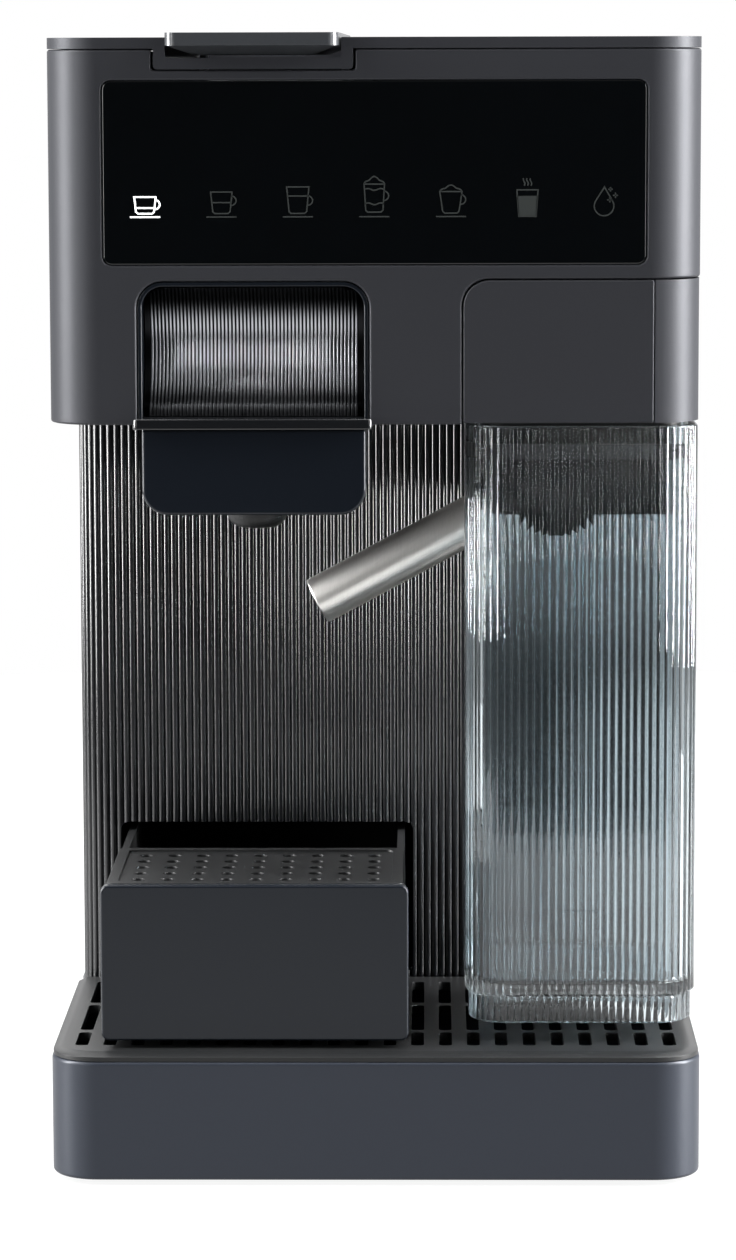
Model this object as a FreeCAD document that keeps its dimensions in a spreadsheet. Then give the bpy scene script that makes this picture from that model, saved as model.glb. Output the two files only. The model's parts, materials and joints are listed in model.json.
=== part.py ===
"""Pod coffee machine with milk unit, as separate pieces in one document.

Frame: +X to the machine's right as seen from the front, +Y to the back, +Z up.
Origin: the middle of the footprint on the surface that the machine stands on. Millimetres.
Rest pose: lever closed, capsule drawer pulled forward as a cup stand, milk unit docked.
"""
import FreeCAD, Part
import Sketcher
import math
import os
import re

from FreeCAD import Vector

# Driving dimensions: alias, value in millimetres (degrees where the name says so).
SIZES = [
    # whole machine
    ("half_width", 88.0), ("half_depth", 170.0),
    ("base_bottom", 1.0), ("base_top", 33.8), ("wall", 2.5), ("gap", 0.3), ("base_corner", 12.0),
    ("shelf_half", 80.0), ("shelf_thick", 2.4), ("foot_x", 56.0), ("foot_length", 20.0), ("foot_width", 12.0),
    ("gland_x", 62.0), ("gland_z", 18.0), ("gland_radius", 5.0),
    # head
    ("head_half", 87.5), ("head_front", -157.0), ("head_rear", 100.0),
    ("head_bottom", 205.0), ("lid_seam", 304.6), ("lid_top", 307.7), ("head_corner", 14.0),
    # column
    ("column_half", 86.5), ("panel_front", -69.0), ("panel_thick", 3.0), ("column_corner", 9.0),
    ("screw_x", 70.0), ("screw_low", 100.0), ("screw_high", 190.0),
    # display
    ("glass_left", -71.9), ("glass_right", 72.3), ("glass_bottom", 247.7), ("glass_top", 296.3),
    ("glass_corner", 2.3), ("glass_thick", 1.8), ("icon_pitch", 20.3), ("icon_height", 264.5),
    # brew front
    ("arch_left", -63.3), ("arch_right", -1.2), ("arch_top", 243.3), ("arch_corner", 7.0),
    ("nose_bottom", 181.2), ("nose_top", 204.0), ("nose_depth", 57.0), ("outlet_y", -132.0),
    ("scoop_radius", 18.7), ("scoop_lead", 8.2), ("scoop_height", 226.0), ("arch_depth", 15.0),
    # lever and brew unit
    ("brew_x", -32.3), ("pivot_y", 6.0), ("pivot_z", 292.0), ("pin_radius", 3.95),
    ("channel_left", -55.2), ("channel_right", -8.5), ("channel_rear", 27.0), ("channel_floor", 302.3),
    ("slot_left", -52.0), ("slot_right", -12.6), ("slot_front", -61.0), ("slot_rear", -27.0),
    ("brew_z", 235.0), ("cage_radius", 18.0), ("follower_drop", 32.0), ("follower_lead", 10.0),
    ("piston_travel", 30.0), ("lever_angle_deg", 80.0), ("frame_front", -108.0), ("frame_rear", 36.0),
    ("chute_shift", 53.0),
    # capsule drawer
    ("drawer_left", -74.1), ("drawer_right", 9.0), ("drawer_bottom", 38.7), ("drawer_top", 81.4),
    ("drawer_front", -164.0), ("drawer_length", 160.0), ("opening_gap", 0.9), ("stand_length", 57.0),
    ("drain_radius", 1.8), ("drain_step_across", 8.0), ("drain_step_along", 9.0),
    # drip tray
    ("tray_rear", -70.0), ("grid_bottom", 34.2), ("grid_top", 36.6), ("slot_pitch", 7.6), ("slot_width", 3.5),
    ("slot_count", 22), ("near_start", -160.0), ("near_end", -144.0),
    ("mid_start", -141.0), ("mid_end", -109.0),
    ("far_start", -106.0), ("far_end", -77.0), ("finger_hole_x", -34.2), ("tray_corner", 13.0),
    # milk unit
    ("milk_left", 24.4), ("milk_right", 87.0), ("milk_rear", -95.0), ("milk_bottom", 41.7),
    ("milk_rim", 204.5), ("milk_floor", 52.0), ("milk_corner", 11.0), ("milk_wall", 2.5),
    ("bay_left", 23.5), ("bay_top", 243.8), ("bay_rear", -72.0), ("milk_head_seam", 74.8),
    ("spout_x", 50.0), ("spout_y", -86.0), ("spout_z", 184.8), ("spout_radius", 6.75),
    ("spout_length", 76.0), ("spout_tilt_deg", 28.1), ("knuckle_radius", 10.5),
    ("steam_x", 70.0), ("steam_z", 225.0), ("suction_x", 55.0), ("suction_y", -126.0),
    # water tank
    ("tank_half", 84.0), ("tank_front", 103.0), ("tank_rear", 169.0), ("tank_bottom", 34.2),
    ("tank_top", 296.0), ("tank_port_y", 135.0), ("tank_port_radius", 9.0), ("tank_wall", 2.2),
    ("hinge_y", 166.95), ("hinge_z", 298.15), ("hinge_radius", 1.85), ("hinge_half", 77.0), ("ear_x", 60.0),
    ("ear_thick", 2.4), ("pin_thin", 0.8),
    # water and steam path
    ("hose_radius", 3.0), ("pump_x", 50.0), ("pump_z", 62.0), ("pump_front", 6.0), ("pump_rear", 77.0),
    ("heater_left", 18.0), ("heater_right", 78.0), ("heater_front", -45.0), ("heater_rear", 55.0),
    ("heater_bottom", 110.0), ("heater_top", 140.0), ("meter_x", 62.0), ("meter_y", -20.0),
    ("valve_x", 51.0), ("valve_y", -49.0), ("valve_bottom", 212.0),
]
ALIASES = {name for name, _ in SIZES}

doc = FreeCAD.newDocument("pod_coffee_machine")
sheet = doc.addObject("Spreadsheet::Sheet", "Sizes")
for row, (alias, value) in enumerate(SIZES, start=1):
    sheet.set("A%d" % row, alias)
    sheet.set("B%d" % row, str(value))
    sheet.setAlias("B%d" % row, alias)
doc.recompute()

NODES = []


# ---------------------------------------------------------------- helpers
def expr(text):
    """The same expression with every alias given its sheet."""
    return re.sub(r"[a-z_]+", lambda m: "Sizes." + m.group() if m.group() in ALIASES else m.group(), str(text))


def num(text):
    """The value of an expression in aliases and numbers, worked out by the sheet's object."""
    return float(sheet.evalExpression(expr(text)))


def bind(obj, **sizes):
    """Bind properties of obj to expressions in the sheet; a double underscore stands for a dot."""
    for name, text in sizes.items():
        obj.setExpression(name.replace("__", "."), expr(text))
    return obj


def node(obj, label):
    """Name the finished sub-part."""
    obj.Label = label
    NODES.append(obj)
    return obj


def box(x, y, z):
    """A box between three pairs of expressions."""
    obj = doc.addObject("Part::Box", "Block")
    bind(obj, Length="(%s) - (%s)" % (x[1], x[0]), Width="(%s) - (%s)" % (y[1], y[0]))
    bind(obj, Height="(%s) - (%s)" % (z[1], z[0]))
    return bind(obj, Placement__Base__x=x[0], Placement__Base__y=y[0], Placement__Base__z=z[0])


TURN = {"X": (0, 1, 0, 90), "Y": (1, 0, 0, -90), "Z": (0, 0, 1, 0)}


def rod(axis, centre, start, end, radius):
    """A cylinder along a row axis; centre gives the two other coordinates in X, Y, Z order."""
    obj = doc.addObject("Part::Cylinder", "Rod")
    ax, ay, az, angle = TURN[axis]
    obj.Placement = FreeCAD.Placement(Vector(), FreeCAD.Rotation(Vector(ax, ay, az), angle))
    places = list(centre)
    places.insert("XYZ".index(axis), start)
    bind(obj, Radius=radius, Height="(%s) - (%s)" % (end, start))
    return bind(obj, Placement__Base__x=places[0], Placement__Base__y=places[1], Placement__Base__z=places[2])


def new_body(name):
    """An empty body."""
    return doc.addObject("PartDesign::Body", name)


def sketch_on(body, role, offset):
    """A sketch on one of the body's own origin planes, moved along its normal."""
    sketch = body.newObject("Sketcher::SketchObject", "Outline")
    plane = next(f for f in body.Origin.OriginFeatures if f.Role == role)
    sketch.AttachmentSupport = [(plane, "")]
    sketch.MapMode = "FlatFace"
    sketch.setExpression("AttachmentOffset.Base.z", expr(offset))
    return sketch


def add_rounded_rectangle(sketch, u, v, radius):
    """A rectangle with four tangent corner arcs, fully constrained and bound to the sheet."""
    u0, u1, v0, v1, r = num(u[0]), num(u[1]), num(v[0]), num(v[1]), num(radius)
    first = sketch.GeometryCount
    start = sketch.ConstraintCount
    ends = [(u0 + r, v0, u1 - r, v0), (u1, v0 + r, u1, v1 - r)]
    ends += [(u1 - r, v1, u0 + r, v1), (u0, v1 - r, u0, v0 + r)]
    for a, b, c, d in ends:
        sketch.addGeometry(Part.LineSegment(Vector(a, b, 0), Vector(c, d, 0)))
    corners = [(u1 - r, v0 + r), (u1 - r, v1 - r), (u0 + r, v1 - r), (u0 + r, v0 + r)]
    for i, (cu, cv) in enumerate(corners):
        circle = Part.Circle(Vector(cu, cv, 0), Vector(0, 0, 1), r)
        sketch.addGeometry(Part.ArcOfCircle(circle, (i - 1) * math.pi / 2, i * math.pi / 2))
    made = []
    for i in range(4):
        side, corner, after = first + i, first + 4 + i, first + (i + 1) % 4
        made.append(Sketcher.Constraint("Tangent", side, 2, corner, 1))
        made.append(Sketcher.Constraint("Tangent", corner, 2, after, 1))
        made.append(Sketcher.Constraint("Horizontal" if i % 2 == 0 else "Vertical", side))
    for i in range(1, 4):
        made.append(Sketcher.Constraint("Equal", first + 4, first + 4 + i))
    made.append(Sketcher.Constraint("Radius", first + 4, r))
    made.append(Sketcher.Constraint("DistanceX", -1, 1, first + 3, 1, u0))
    made.append(Sketcher.Constraint("DistanceX", -1, 1, first + 1, 1, u1))
    made.append(Sketcher.Constraint("DistanceY", -1, 1, first, 1, v0))
    made.append(Sketcher.Constraint("DistanceY", -1, 1, first + 2, 1, v1))
    sketch.addConstraint(made)
    bound = (radius, u[0], u[1], v[0], v[1])
    for i, text in enumerate(bound):
        sketch.setExpression("Constraints[%d]" % (start + 15 + i), expr(text))


PLANES = {"X": "YZ_Plane", "Y": "XZ_Plane", "Z": "XY_Plane"}


def plate(axis, u, v, span, radius):
    """A rounded rectangle padded along a row axis; u and v are the other two axes in X, Y, Z order."""
    body = new_body("Plate")
    low, high = span
    # the XZ plane's own normal points to -Y, so its offset and direction turn over
    offset = "-(%s)" % high if axis == "Y" else low
    sketch = sketch_on(body, PLANES[axis], offset)
    add_rounded_rectangle(sketch, u, v, radius)
    pad = body.newObject("PartDesign::Pad", "Pad")
    pad.Profile = sketch
    pad.setExpression("Length", expr("(%s) - (%s)" % (high, low)))
    return body


def fuse(*shapes):
    """One solid of several."""
    obj = doc.addObject("Part::MultiFuse", "Joined")
    obj.Shapes = list(shapes)
    obj.Refine = True
    return obj


def cut(base, *tools):
    """The base without the tools."""
    obj = doc.addObject("Part::Cut", "Cut")
    obj.Base = base
    obj.Tool = tools[0] if len(tools) == 1 else fuse(*tools)
    obj.Refine = True
    return obj


def common(*shapes):
    """What several solids share."""
    obj = doc.addObject("Part::MultiCommon", "Shared")
    obj.Shapes = list(shapes)
    return obj


def made_by_code(shape):
    """A feature whose shape is worked out here."""
    obj = doc.addObject("Part::Feature", "Made")
    obj.Shape = shape
    return obj


def tube_along(points, radius):
    """A round tube along straight runs joined by tangent arcs."""
    route = [Vector(*p) for p in points]
    edges, radii, here = [], [], route[0]
    for before, corner, after in zip(route, route[1:], route[2:]):
        into = (corner - before).normalize()
        out = (after - corner).normalize()
        half = into.getAngle(out) / 2
        reach = 0.45 * min((corner - before).Length, (after - corner).Length)
        radii.append(reach / math.tan(half))
        start, end = corner - into * reach, corner + out * reach
        inward = (out - into).normalize()
        middle = corner + inward * (radii[-1] / math.cos(half) - radii[-1])
        edges += [Part.LineSegment(here, start).toShape(), Part.Arc(start, middle, end).toShape()]
        here = end
    edges.append(Part.LineSegment(here, route[-1]).toShape())
    path = Part.Wire(edges)
    ring = Part.Wire([Part.Circle(route[0], route[1] - route[0], radius).toShape()])
    tube = path.makePipeShell([ring], True, True)
    whole = math.pi * radius ** 2 * path.Length
    print("tube: length %.0f, tightest radius %.1f, volume %.3f of section x length"
          % (path.Length, min(radii), tube.Volume / whole))
    return tube


# ---------------------------------------------------------------- base and column
def chassis_base():
    """Open pan under the column and tank, with a thin shelf forward under the drip tray."""
    pan = plate("Z", ("-head_half", "head_half"), ("panel_front + 1", "half_depth"),
                ("base_bottom", "base_top"), "base_corner")
    inside = plate("Z", ("-head_half + wall", "head_half - wall"),
                   ("panel_front + 1 + wall", "half_depth - wall"),
                   ("base_bottom + wall", "base_top + 1"), "base_corner - wall")
    shelf = box(("-shelf_half", "shelf_half"), ("-half_depth + 4.5", "panel_front + 3"),
                ("base_bottom", "base_bottom + shelf_thick"))
    gland_hole = rod("Y", ("gland_x", "gland_z"), "half_depth - 5", "half_depth + 1", "gland_radius + 0.1")
    node(cut(fuse(cut(pan, inside), shelf), gland_hole), "chassis_base")


def rubber_feet():
    """Four low pads."""
    pads = []
    for side in (-1, 1):
        for front in ("-half_depth + 7", "half_depth - 30"):
            middle = "foot_x * %d" % side
            pads.append(plate("Z", (middle + " - foot_length / 2", middle + " + foot_length / 2"),
                              (front, front + " + foot_width"), ("0", "base_bottom"), "2"))
    node(fuse(*pads), "rubber_feet")


def column_casing():
    """Four-sided shell between base and head, open at the front for the drawer."""
    outer = plate("Z", ("-column_half", "column_half"), ("panel_front + panel_thick + 0.2", "head_rear"),
                  ("base_top + 0.2", "head_bottom"), "column_corner")
    inner = plate("Z", ("-column_half + wall", "column_half - wall"),
                  ("panel_front + panel_thick + 0.2 + wall", "head_rear - wall"),
                  ("base_top - 1", "head_bottom + 2"), "column_corner - wall")
    door = box(("drawer_left - opening_gap - 2.2", "drawer_right + opening_gap + 2.2"),
               ("panel_front", "panel_front + 8"), ("drawer_bottom - 2.9", "drawer_top + 3.8"))
    holes = [rod("Y", ("screw_x * %d" % side, high), "head_rear - 4", "head_rear + 1", "2.05")
             for side in (-1, 1) for high in ("screw_low", "screw_high")]
    node(cut(outer, inner, door, *holes), "column_casing")


def rib_panel():
    """Front skin of the column, with the drawer's rounded opening."""
    skin = box(("-column_half + 0.2", "column_half - 0.2"), ("panel_front", "panel_front + panel_thick"),
               ("base_top + 1.7", "head_bottom - 0.6"))
    door = plate("Y", ("drawer_left - opening_gap", "drawer_right + opening_gap"),
                 ("drawer_bottom - 0.8", "drawer_top + opening_gap"),
                 ("panel_front - 1", "panel_front + 5"), "2.5")
    node(cut(skin, door), "rib_panel")


def drawer_bay():
    """Tunnel behind the opening that guides the capsule drawer."""
    low, high = "drawer_bottom - 0.7", "drawer_top + 1.6"
    left, right = "drawer_left - opening_gap", "drawer_right + opening_gap"
    outer = box((left + " - 2", right + " + 2"), ("panel_front + 3.3", "head_rear - 5"),
                (low + " - 2", high + " + 2"))
    inner = box((left, right), ("panel_front", "head_rear - 7"), (low, high))
    drop = box(("slot_left", "slot_right"), ("slot_front + chute_shift", "slot_rear + chute_shift"),
               (high + " - 1", high + " + 3"))
    node(cut(outer, inner, drop), "drawer_bay")


def casing_screws():
    """Four pan-head screws through the back of the column."""
    screws = []
    for side in (-1, 1):
        for high in ("screw_low", "screw_high"):
            place = ("screw_x * %d" % side, high)
            shank = rod("Y", place, "head_rear - 9", "head_rear", "1.95")
            head = rod("Y", place, "head_rear", "head_rear + 1.8", "3.6")
            screws.append(fuse(shank, head))
    node(fuse(*screws), "casing_screws")


def cord_gland():
    """Round bush at the back that the mains lead would leave through."""
    place = ("gland_x", "gland_z")
    bush = fuse(rod("Y", place, "half_depth - 10", "half_depth", "gland_radius"),
                rod("Y", place, "half_depth - 10", "half_depth - wall - 0.1", "gland_radius + 2"))
    node(cut(bush, rod("Y", place, "half_depth - 11", "half_depth + 1", "gland_radius - 1.7")), "cord_gland")


# ---------------------------------------------------------------- head
def head_shell():
    """Wrap of the head, open above and below, with the display, brew and milk openings."""
    outer = plate("Z", ("-head_half", "head_half"), ("head_front", "head_rear"),
                  ("head_bottom", "lid_seam"), "head_corner")
    inner = plate("Z", ("-head_half + wall", "head_half - wall"), ("head_front + wall", "head_rear - wall"),
                  ("head_bottom - 1", "lid_seam + 1"), "head_corner - wall")
    front = ("head_front - 2", "head_front + 6")
    window = plate("Y", ("glass_left - 0.2", "glass_right + 0.2"), ("glass_bottom - 0.2", "glass_top + 0.2"),
                   front, "glass_corner + 0.2")
    arch = plate("Y", ("arch_left", "arch_right"), ("head_bottom - 20", "arch_top"), front, "arch_corner")
    bay = box(("bay_left", "half_width + 2"), ("head_front - 2", "bay_rear"), ("head_bottom - 1", "bay_top"))
    notch = box(("channel_left - 3.4", "channel_right + 3.4"), front, ("channel_floor - 3.2", "lid_seam + 2"))
    node(cut(outer, inner, window, arch, bay, notch), "head_shell")


def milk_dock():
    """Liner of the milk bay: ceiling, left wall and back wall with the steam port's hole."""
    block = box(("bay_left - 2", "half_width"), ("head_front", "bay_rear + 2"),
                ("head_bottom + 3.2", "bay_top + 2"))
    room = plate("Z", ("-head_half + wall + 0.2", "head_half - wall - 0.2"),
                 ("head_front + wall + 0.2", "head_rear - wall - 0.2"),
                 ("head_bottom + 3.2", "bay_top + 2"), "head_corner - wall - 0.2")
    liner = common(block, room)
    space = box(("bay_left", "half_width + 2"), ("head_front - 2", "bay_rear"), ("head_bottom - 1", "bay_top"))
    steam = rod("Y", ("steam_x", "steam_z"), "bay_rear - 1", "bay_rear + 3", "4.2")
    node(cut(liner, space, steam), "milk_dock")


def head_underside():
    """Floor plate of the head, cut for the milk bay, the outlet unit and the capsule chute."""
    floor = plate("Z", ("-head_half + wall + 0.2", "head_half - wall - 0.2"),
                  ("head_front + wall + 0.2", "head_rear - wall - 0.2"),
                  ("head_bottom + 0.3", "head_bottom + 2.8"), "head_corner - wall - 0.2")
    tall = ("head_bottom - 1", "head_bottom + 4")
    bay = box(("bay_left - 2.2", "half_width"), ("head_front", "bay_rear + 2.2"), tall)
    tongue = box(("arch_left + 0.1", "arch_right - 0.1"), ("head_front", "head_front + arch_depth + 0.2"), tall)
    drop = box(("slot_left", "slot_right"), ("slot_front", "slot_rear"), tall)
    spout = rod("Z", ("brew_x", "outlet_y"), *tall, "4")
    brew_hose = box(("3", "18"), ("28", "47"), tall)
    steam_hose = rod("Z", ("valve_x", "valve_y"), *tall, "4.2")
    node(cut(floor, bay, tongue, drop, spout, brew_hose, steam_hose), "head_underside")


def top_lid():
    """Top plate with the lever's trough; the trough shows as a drop at the front edge."""
    top = plate("Z", ("-head_half", "head_half"), ("head_front", "head_rear"),
                ("lid_seam + 0.05", "lid_top"), "head_corner")
    trough = box(("channel_left - 3.2", "channel_right + 3.2"), ("head_front", "channel_rear + 3"),
                 ("channel_floor - 3", "lid_seam + 1"))
    channel = box(("channel_left", "channel_right"), ("head_front - 1", "channel_rear"),
                  ("channel_floor", "lid_top + 1"))
    through = ("channel_floor - 4", "channel_floor + 1")
    slot = box(("slot_left", "slot_right"), ("slot_front", "slot_rear"), through)
    swing = box(("channel_left", "channel_right"), ("pivot_y - 14", "channel_rear"), through)
    node(cut(fuse(top, trough), channel, slot, swing), "top_lid")


def display_glass():
    """Flush touch glass."""
    node(plate("Y", ("glass_left", "glass_right"), ("glass_bottom", "glass_top"),
               ("head_front", "head_front + glass_thick"), "glass_corner"), "display_glass")


def icon_light_guides():
    """Seven light boxes behind the touch symbols."""
    guides = []
    for index in range(-3, 4):
        middle = "(glass_left + glass_right) / 2 + icon_pitch * %d" % index
        guides.append(box((middle + " - 7", middle + " + 7"), ("head_front + 2", "head_front + 5.5"),
                          ("icon_height - 8", "icon_height + 8")))
    node(fuse(*guides), "icon_light_guides")


def display_board():
    """Circuit board behind the glass."""
    node(box(("glass_left + 2", "glass_right - 2"), ("head_front + 5.8", "head_front + 7.4"),
             ("glass_bottom + 2", "glass_top - 2")), "display_board")


def arch_trim():
    """Thin arched liner of the brew recess."""
    outer = plate("Y", ("arch_left + 0.2", "arch_right - 0.2"), ("head_bottom - 20", "arch_top - 0.2"),
                  ("head_front + 0.4", "head_front + arch_depth"), "arch_corner - 0.2")
    inner = plate("Y", ("arch_left + 1.4", "arch_right - 1.4"), ("head_bottom - 22", "arch_top - 1.4"),
                  ("head_front - 1", "head_front + 16"), "arch_corner - 1.4")
    below = box(("arch_left - 2", "arch_right + 2"), ("head_front - 1", "head_front + 17"),
                ("head_bottom - 25", "head_bottom + 0.2"))
    node(cut(outer, inner, below), "arch_trim")


# ---------------------------------------------------------------- coffee outlet unit
def scoop_panel():
    """Concave finger panel that closes the arch."""
    blank = plate("Y", ("arch_left + 1.7", "arch_right - 1.7"), ("head_bottom - 20", "arch_top - 1.7"),
                  ("head_front + 1.5", "head_front + arch_depth"), "arch_corner - 1.7")
    below = box(("arch_left", "arch_right"), ("head_front", "head_front + 17"),
                ("head_bottom - 22", "head_bottom + 2.3"))
    hollow = rod("X", ("head_front - scoop_lead", "scoop_height"), "arch_left", "arch_right", "scoop_radius")
    node(cut(blank, below, hollow), "scoop_panel")


def finger_ledge():
    """Bar under the scoop, wider than the arch, with a tongue that carries the panel."""
    bar = plate("Z", ("arch_left - 0.9", "arch_right + 0.8"), ("head_front - 6.5", "head_front - 0.4"),
                ("nose_top + 0.2", "head_bottom + 2.1"), "1.4")
    tongue = box(("arch_left + 1.8", "arch_right - 1.8"), ("head_front - 2", "head_front + 14"),
                 ("nose_top + 0.2", "head_bottom + 2.1"))
    node(fuse(bar, tongue), "finger_ledge")


def nose_cover():
    """Open-topped block under the ledge that hides the coffee path."""
    outer = plate("Y", ("arch_left + 1.4", "arch_right - 1"), ("nose_bottom", "nose_top + 12"),
                  ("head_front - 4", "head_front - 4 + nose_depth"), "arch_corner")
    inner = plate("Y", ("arch_left + 3.6", "arch_right - 3.2"), ("nose_bottom + 2.2", "nose_top + 14"),
                  ("head_front - 1.8", "head_front - 6.2 + nose_depth"), "arch_corner - 2.2")
    above = box(("arch_left", "arch_right"), ("head_front - 6", "head_front + 55"),
                ("nose_top", "nose_top + 16"))
    hole = rod("Z", ("brew_x", "outlet_y"), "nose_bottom - 1", "nose_bottom + 4", "6.05")
    node(cut(outer, inner, above, hole), "nose_cover")


def outlet_dome():
    """Turned nozzle, made by revolving half its section."""
    body = new_body("Dome")
    sketch = sketch_on(body, "XZ_Plane", "0")
    # radius, height pairs: bore, rounded underside, shoulder under the nose, neck
    tip, shoulder, top = num("nose_bottom - 6.2"), num("nose_bottom"), num("nose_bottom + 8")
    outline = [(2.2, tip), (4.6, tip), (7.6, tip + 2.6), (8.45, shoulder), (6, shoulder), (6, top), (2.2, top)]
    points = [Vector(r, high, 0) for r, high in outline]
    for start, end in zip(points, points[1:] + points[:1]):
        sketch.addGeometry(Part.LineSegment(start, end))
    turn = body.newObject("PartDesign::Revolution", "Turn")
    turn.Profile = sketch
    turn.ReferenceAxis = (sketch, ["V_Axis"])
    turn.Angle = 360
    bind(body, Placement__Base__x="brew_x", Placement__Base__y="outlet_y")
    node(body, "outlet_dome")


# ---------------------------------------------------------------- lever and brew unit
def lever_handle():
    """Flat lever on top: grip ahead of the head, slab over the trough, stiffening rib under it."""
    slab = plate("Z", ("channel_left + 0.6", "channel_right - 0.5"), ("head_front - 12", "pivot_y + 8"),
                 ("channel_floor + 3.1", "lid_top + 1.2"), "3")
    rib = box(("channel_left + 4", "channel_right - 4"), ("head_front + 3", "pivot_y + 8"),
              ("channel_floor + 0.9", "channel_floor + 3.1"))
    node(fuse(slab, rib), "lever_handle")


def follower_route(steps=12):
    """Centre line of the cam slot, from the pivot: it gives the piston one speed per turn of the lever."""
    total = math.radians(num("lever_angle_deg"))
    pace = num("piston_travel") / total
    lead, drop = num("follower_lead"), -num("follower_drop")
    route = []
    for i in range(-1, steps + 2):
        angle = total * i / steps
        y = lead - pace * angle
        across = y * math.cos(angle) - drop * math.sin(angle)
        upward = y * math.sin(angle) + drop * math.cos(angle)
        route.append((across, upward))
    return route


def cam_slot(x, thick, radius):
    """The slot's solid: the follower's own outline carried along its route."""
    route = [Vector(x, num("pivot_y") + y, num("pivot_z") + z) for y, z in follower_route()]
    sides = ([], [])
    for before, here, after in zip(route, route[1:], route[2:]):
        along = (after - before).normalize()
        across = Vector(0, -along.z, along.y) * radius
        sides[0].append(here + across)
        sides[1].append(here - across)
    edges = []
    for side in sides:
        curve = Part.BSplineCurve()
        curve.interpolate(side)
        edges.append(curve.toShape())
    ends = []
    for here, beyond, left, right in ((route[1], route[0], sides[0][0], sides[1][0]),
                                      (route[-2], route[-1], sides[0][-1], sides[1][-1])):
        tip = here + (beyond - here).normalize() * radius
        ends.append(Part.Arc(left, tip, right).toShape())
    outline = Part.Wire(Part.__sortEdges__([edges[0], ends[1], edges[1], ends[0]]))
    return Part.Face(outline).extrude(Vector(thick, 0, 0))


def lever_cams():
    """Two steel cam plates that hang from the lever on its pin and drive the piston's follower."""
    thick = 2.0
    outline = [(-8, 11.2), (8, 11.2), (9.5, 0), (34, -17), (35, -31), (10, -41), (2, -33), (-9.5, 0)]
    plates = []
    for x in (num("channel_left") + 1.2, num("channel_right") - 1.2 - 1.7):
        points = [Vector(x, num("pivot_y") + y, num("pivot_z") + z) for y, z in outline]
        blank = Part.Face(Part.makePolygon(points + points[:1])).extrude(Vector(thick, 0, 0))
        bore = Part.makeCylinder(num("pin_radius") + 0.08, 6,
                                 Vector(x - 2, num("pivot_y"), num("pivot_z")), Vector(1, 0, 0))
        plates.append(blank.cut(bore).cut(cam_slot(x - 1, thick + 2, 3.3)))
    node(made_by_code(Part.makeCompound(plates)), "lever_cams")


def lever_pin():
    """Steel pin across the brew frame that the lever turns on."""
    node(rod("X", ("pivot_y", "pivot_z"), "arch_left + 1.3", "arch_right - 1.3", "pin_radius"), "lever_pin")


def brew_frame():
    """Pressed frame: floor, two cheeks and the uprights that hold the lever pin."""
    floor_z = "head_bottom + 2.8"
    left, right = "arch_left + 1.3", "arch_right - 1.3"
    length = ("frame_front", "frame_rear")
    base = box((left, right), length, (floor_z, floor_z + " + 2"))
    cheeks = []
    for x in ((left, left + " + 2.5"), (right + " - 2.5", right)):
        cheeks.append(box(x, length, (floor_z, "pivot_z - 30")))
        cheeks.append(box(x, ("pivot_y - 10", "pivot_y + 10"), (floor_z, "pivot_z + 6.4")))
    drop = box(("slot_left", "slot_right"), ("slot_front", "slot_rear"), ("head_bottom", "head_bottom + 8"))
    bore = rod("X", ("pivot_y", "pivot_z"), left + " - 1", right + " + 1", "pin_radius + 0.02")
    node(cut(fuse(base, *cheeks), drop, bore), "brew_frame")


def pierce_plate():
    """Fixed extraction plate behind the capsule, with its foot and outlet holes."""
    face = ("slot_rear - 1", "slot_rear + 5")
    disc = rod("Y", ("brew_x", "brew_z"), *face, "19")
    foot = box(("slot_left", "arch_right - 3.8"), face, ("head_bottom + 4.8", "brew_z - 10"))
    holes = []
    for i in range(6):
        x = num("brew_x") + 9 * math.cos(i * math.pi / 3)
        z = num("brew_z") + 9 * math.sin(i * math.pi / 3)
        holes.append(rod("Y", (x, z), face[0] + " - 1", face[1] + " + 1", "1.2"))
    node(cut(fuse(disc, foot), *holes), "pierce_plate")


def coffee_channel():
    """Tube from the extraction plate forward to the outlet."""
    x, y, z = num("brew_x"), num("outlet_y"), num("head_bottom + 8.6")
    route = [(x, -18.5, z), (x - 12, -18.5, z), (x - 24, -19.5, z), (x - 24.2, -56, z), (x - 24, -90, z),
             (x - 22, -112, z), (x - 10, y + 3, z), (x - 1.5, y + 0.5, z - 1), (x, y, num("nose_top + 1"))]
    node(made_by_code(tube_along(route, 2.4)), "coffee_channel")


def capsule_chute():
    """Slanted duct that a used capsule falls down, from the brew unit to the drawer."""
    top, low = num("head_bottom + 0.3"), num("drawer_top + 3.6")
    fall = Vector(0, num("chute_shift"), low - top)
    walls = []
    for grow in (1.5, 0):
        x0, x1 = num("slot_left") - grow, num("slot_right") + grow
        y0, y1 = num("slot_front") - grow, num("slot_rear") + grow
        ring = [Vector(x0, y0, top), Vector(x1, y0, top), Vector(x1, y1, top), Vector(x0, y1, top)]
        walls.append(Part.Face(Part.makePolygon(ring + ring[:1])).extrude(fall))
    node(made_by_code(walls[0].cut(walls[1])), "capsule_chute")


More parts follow.
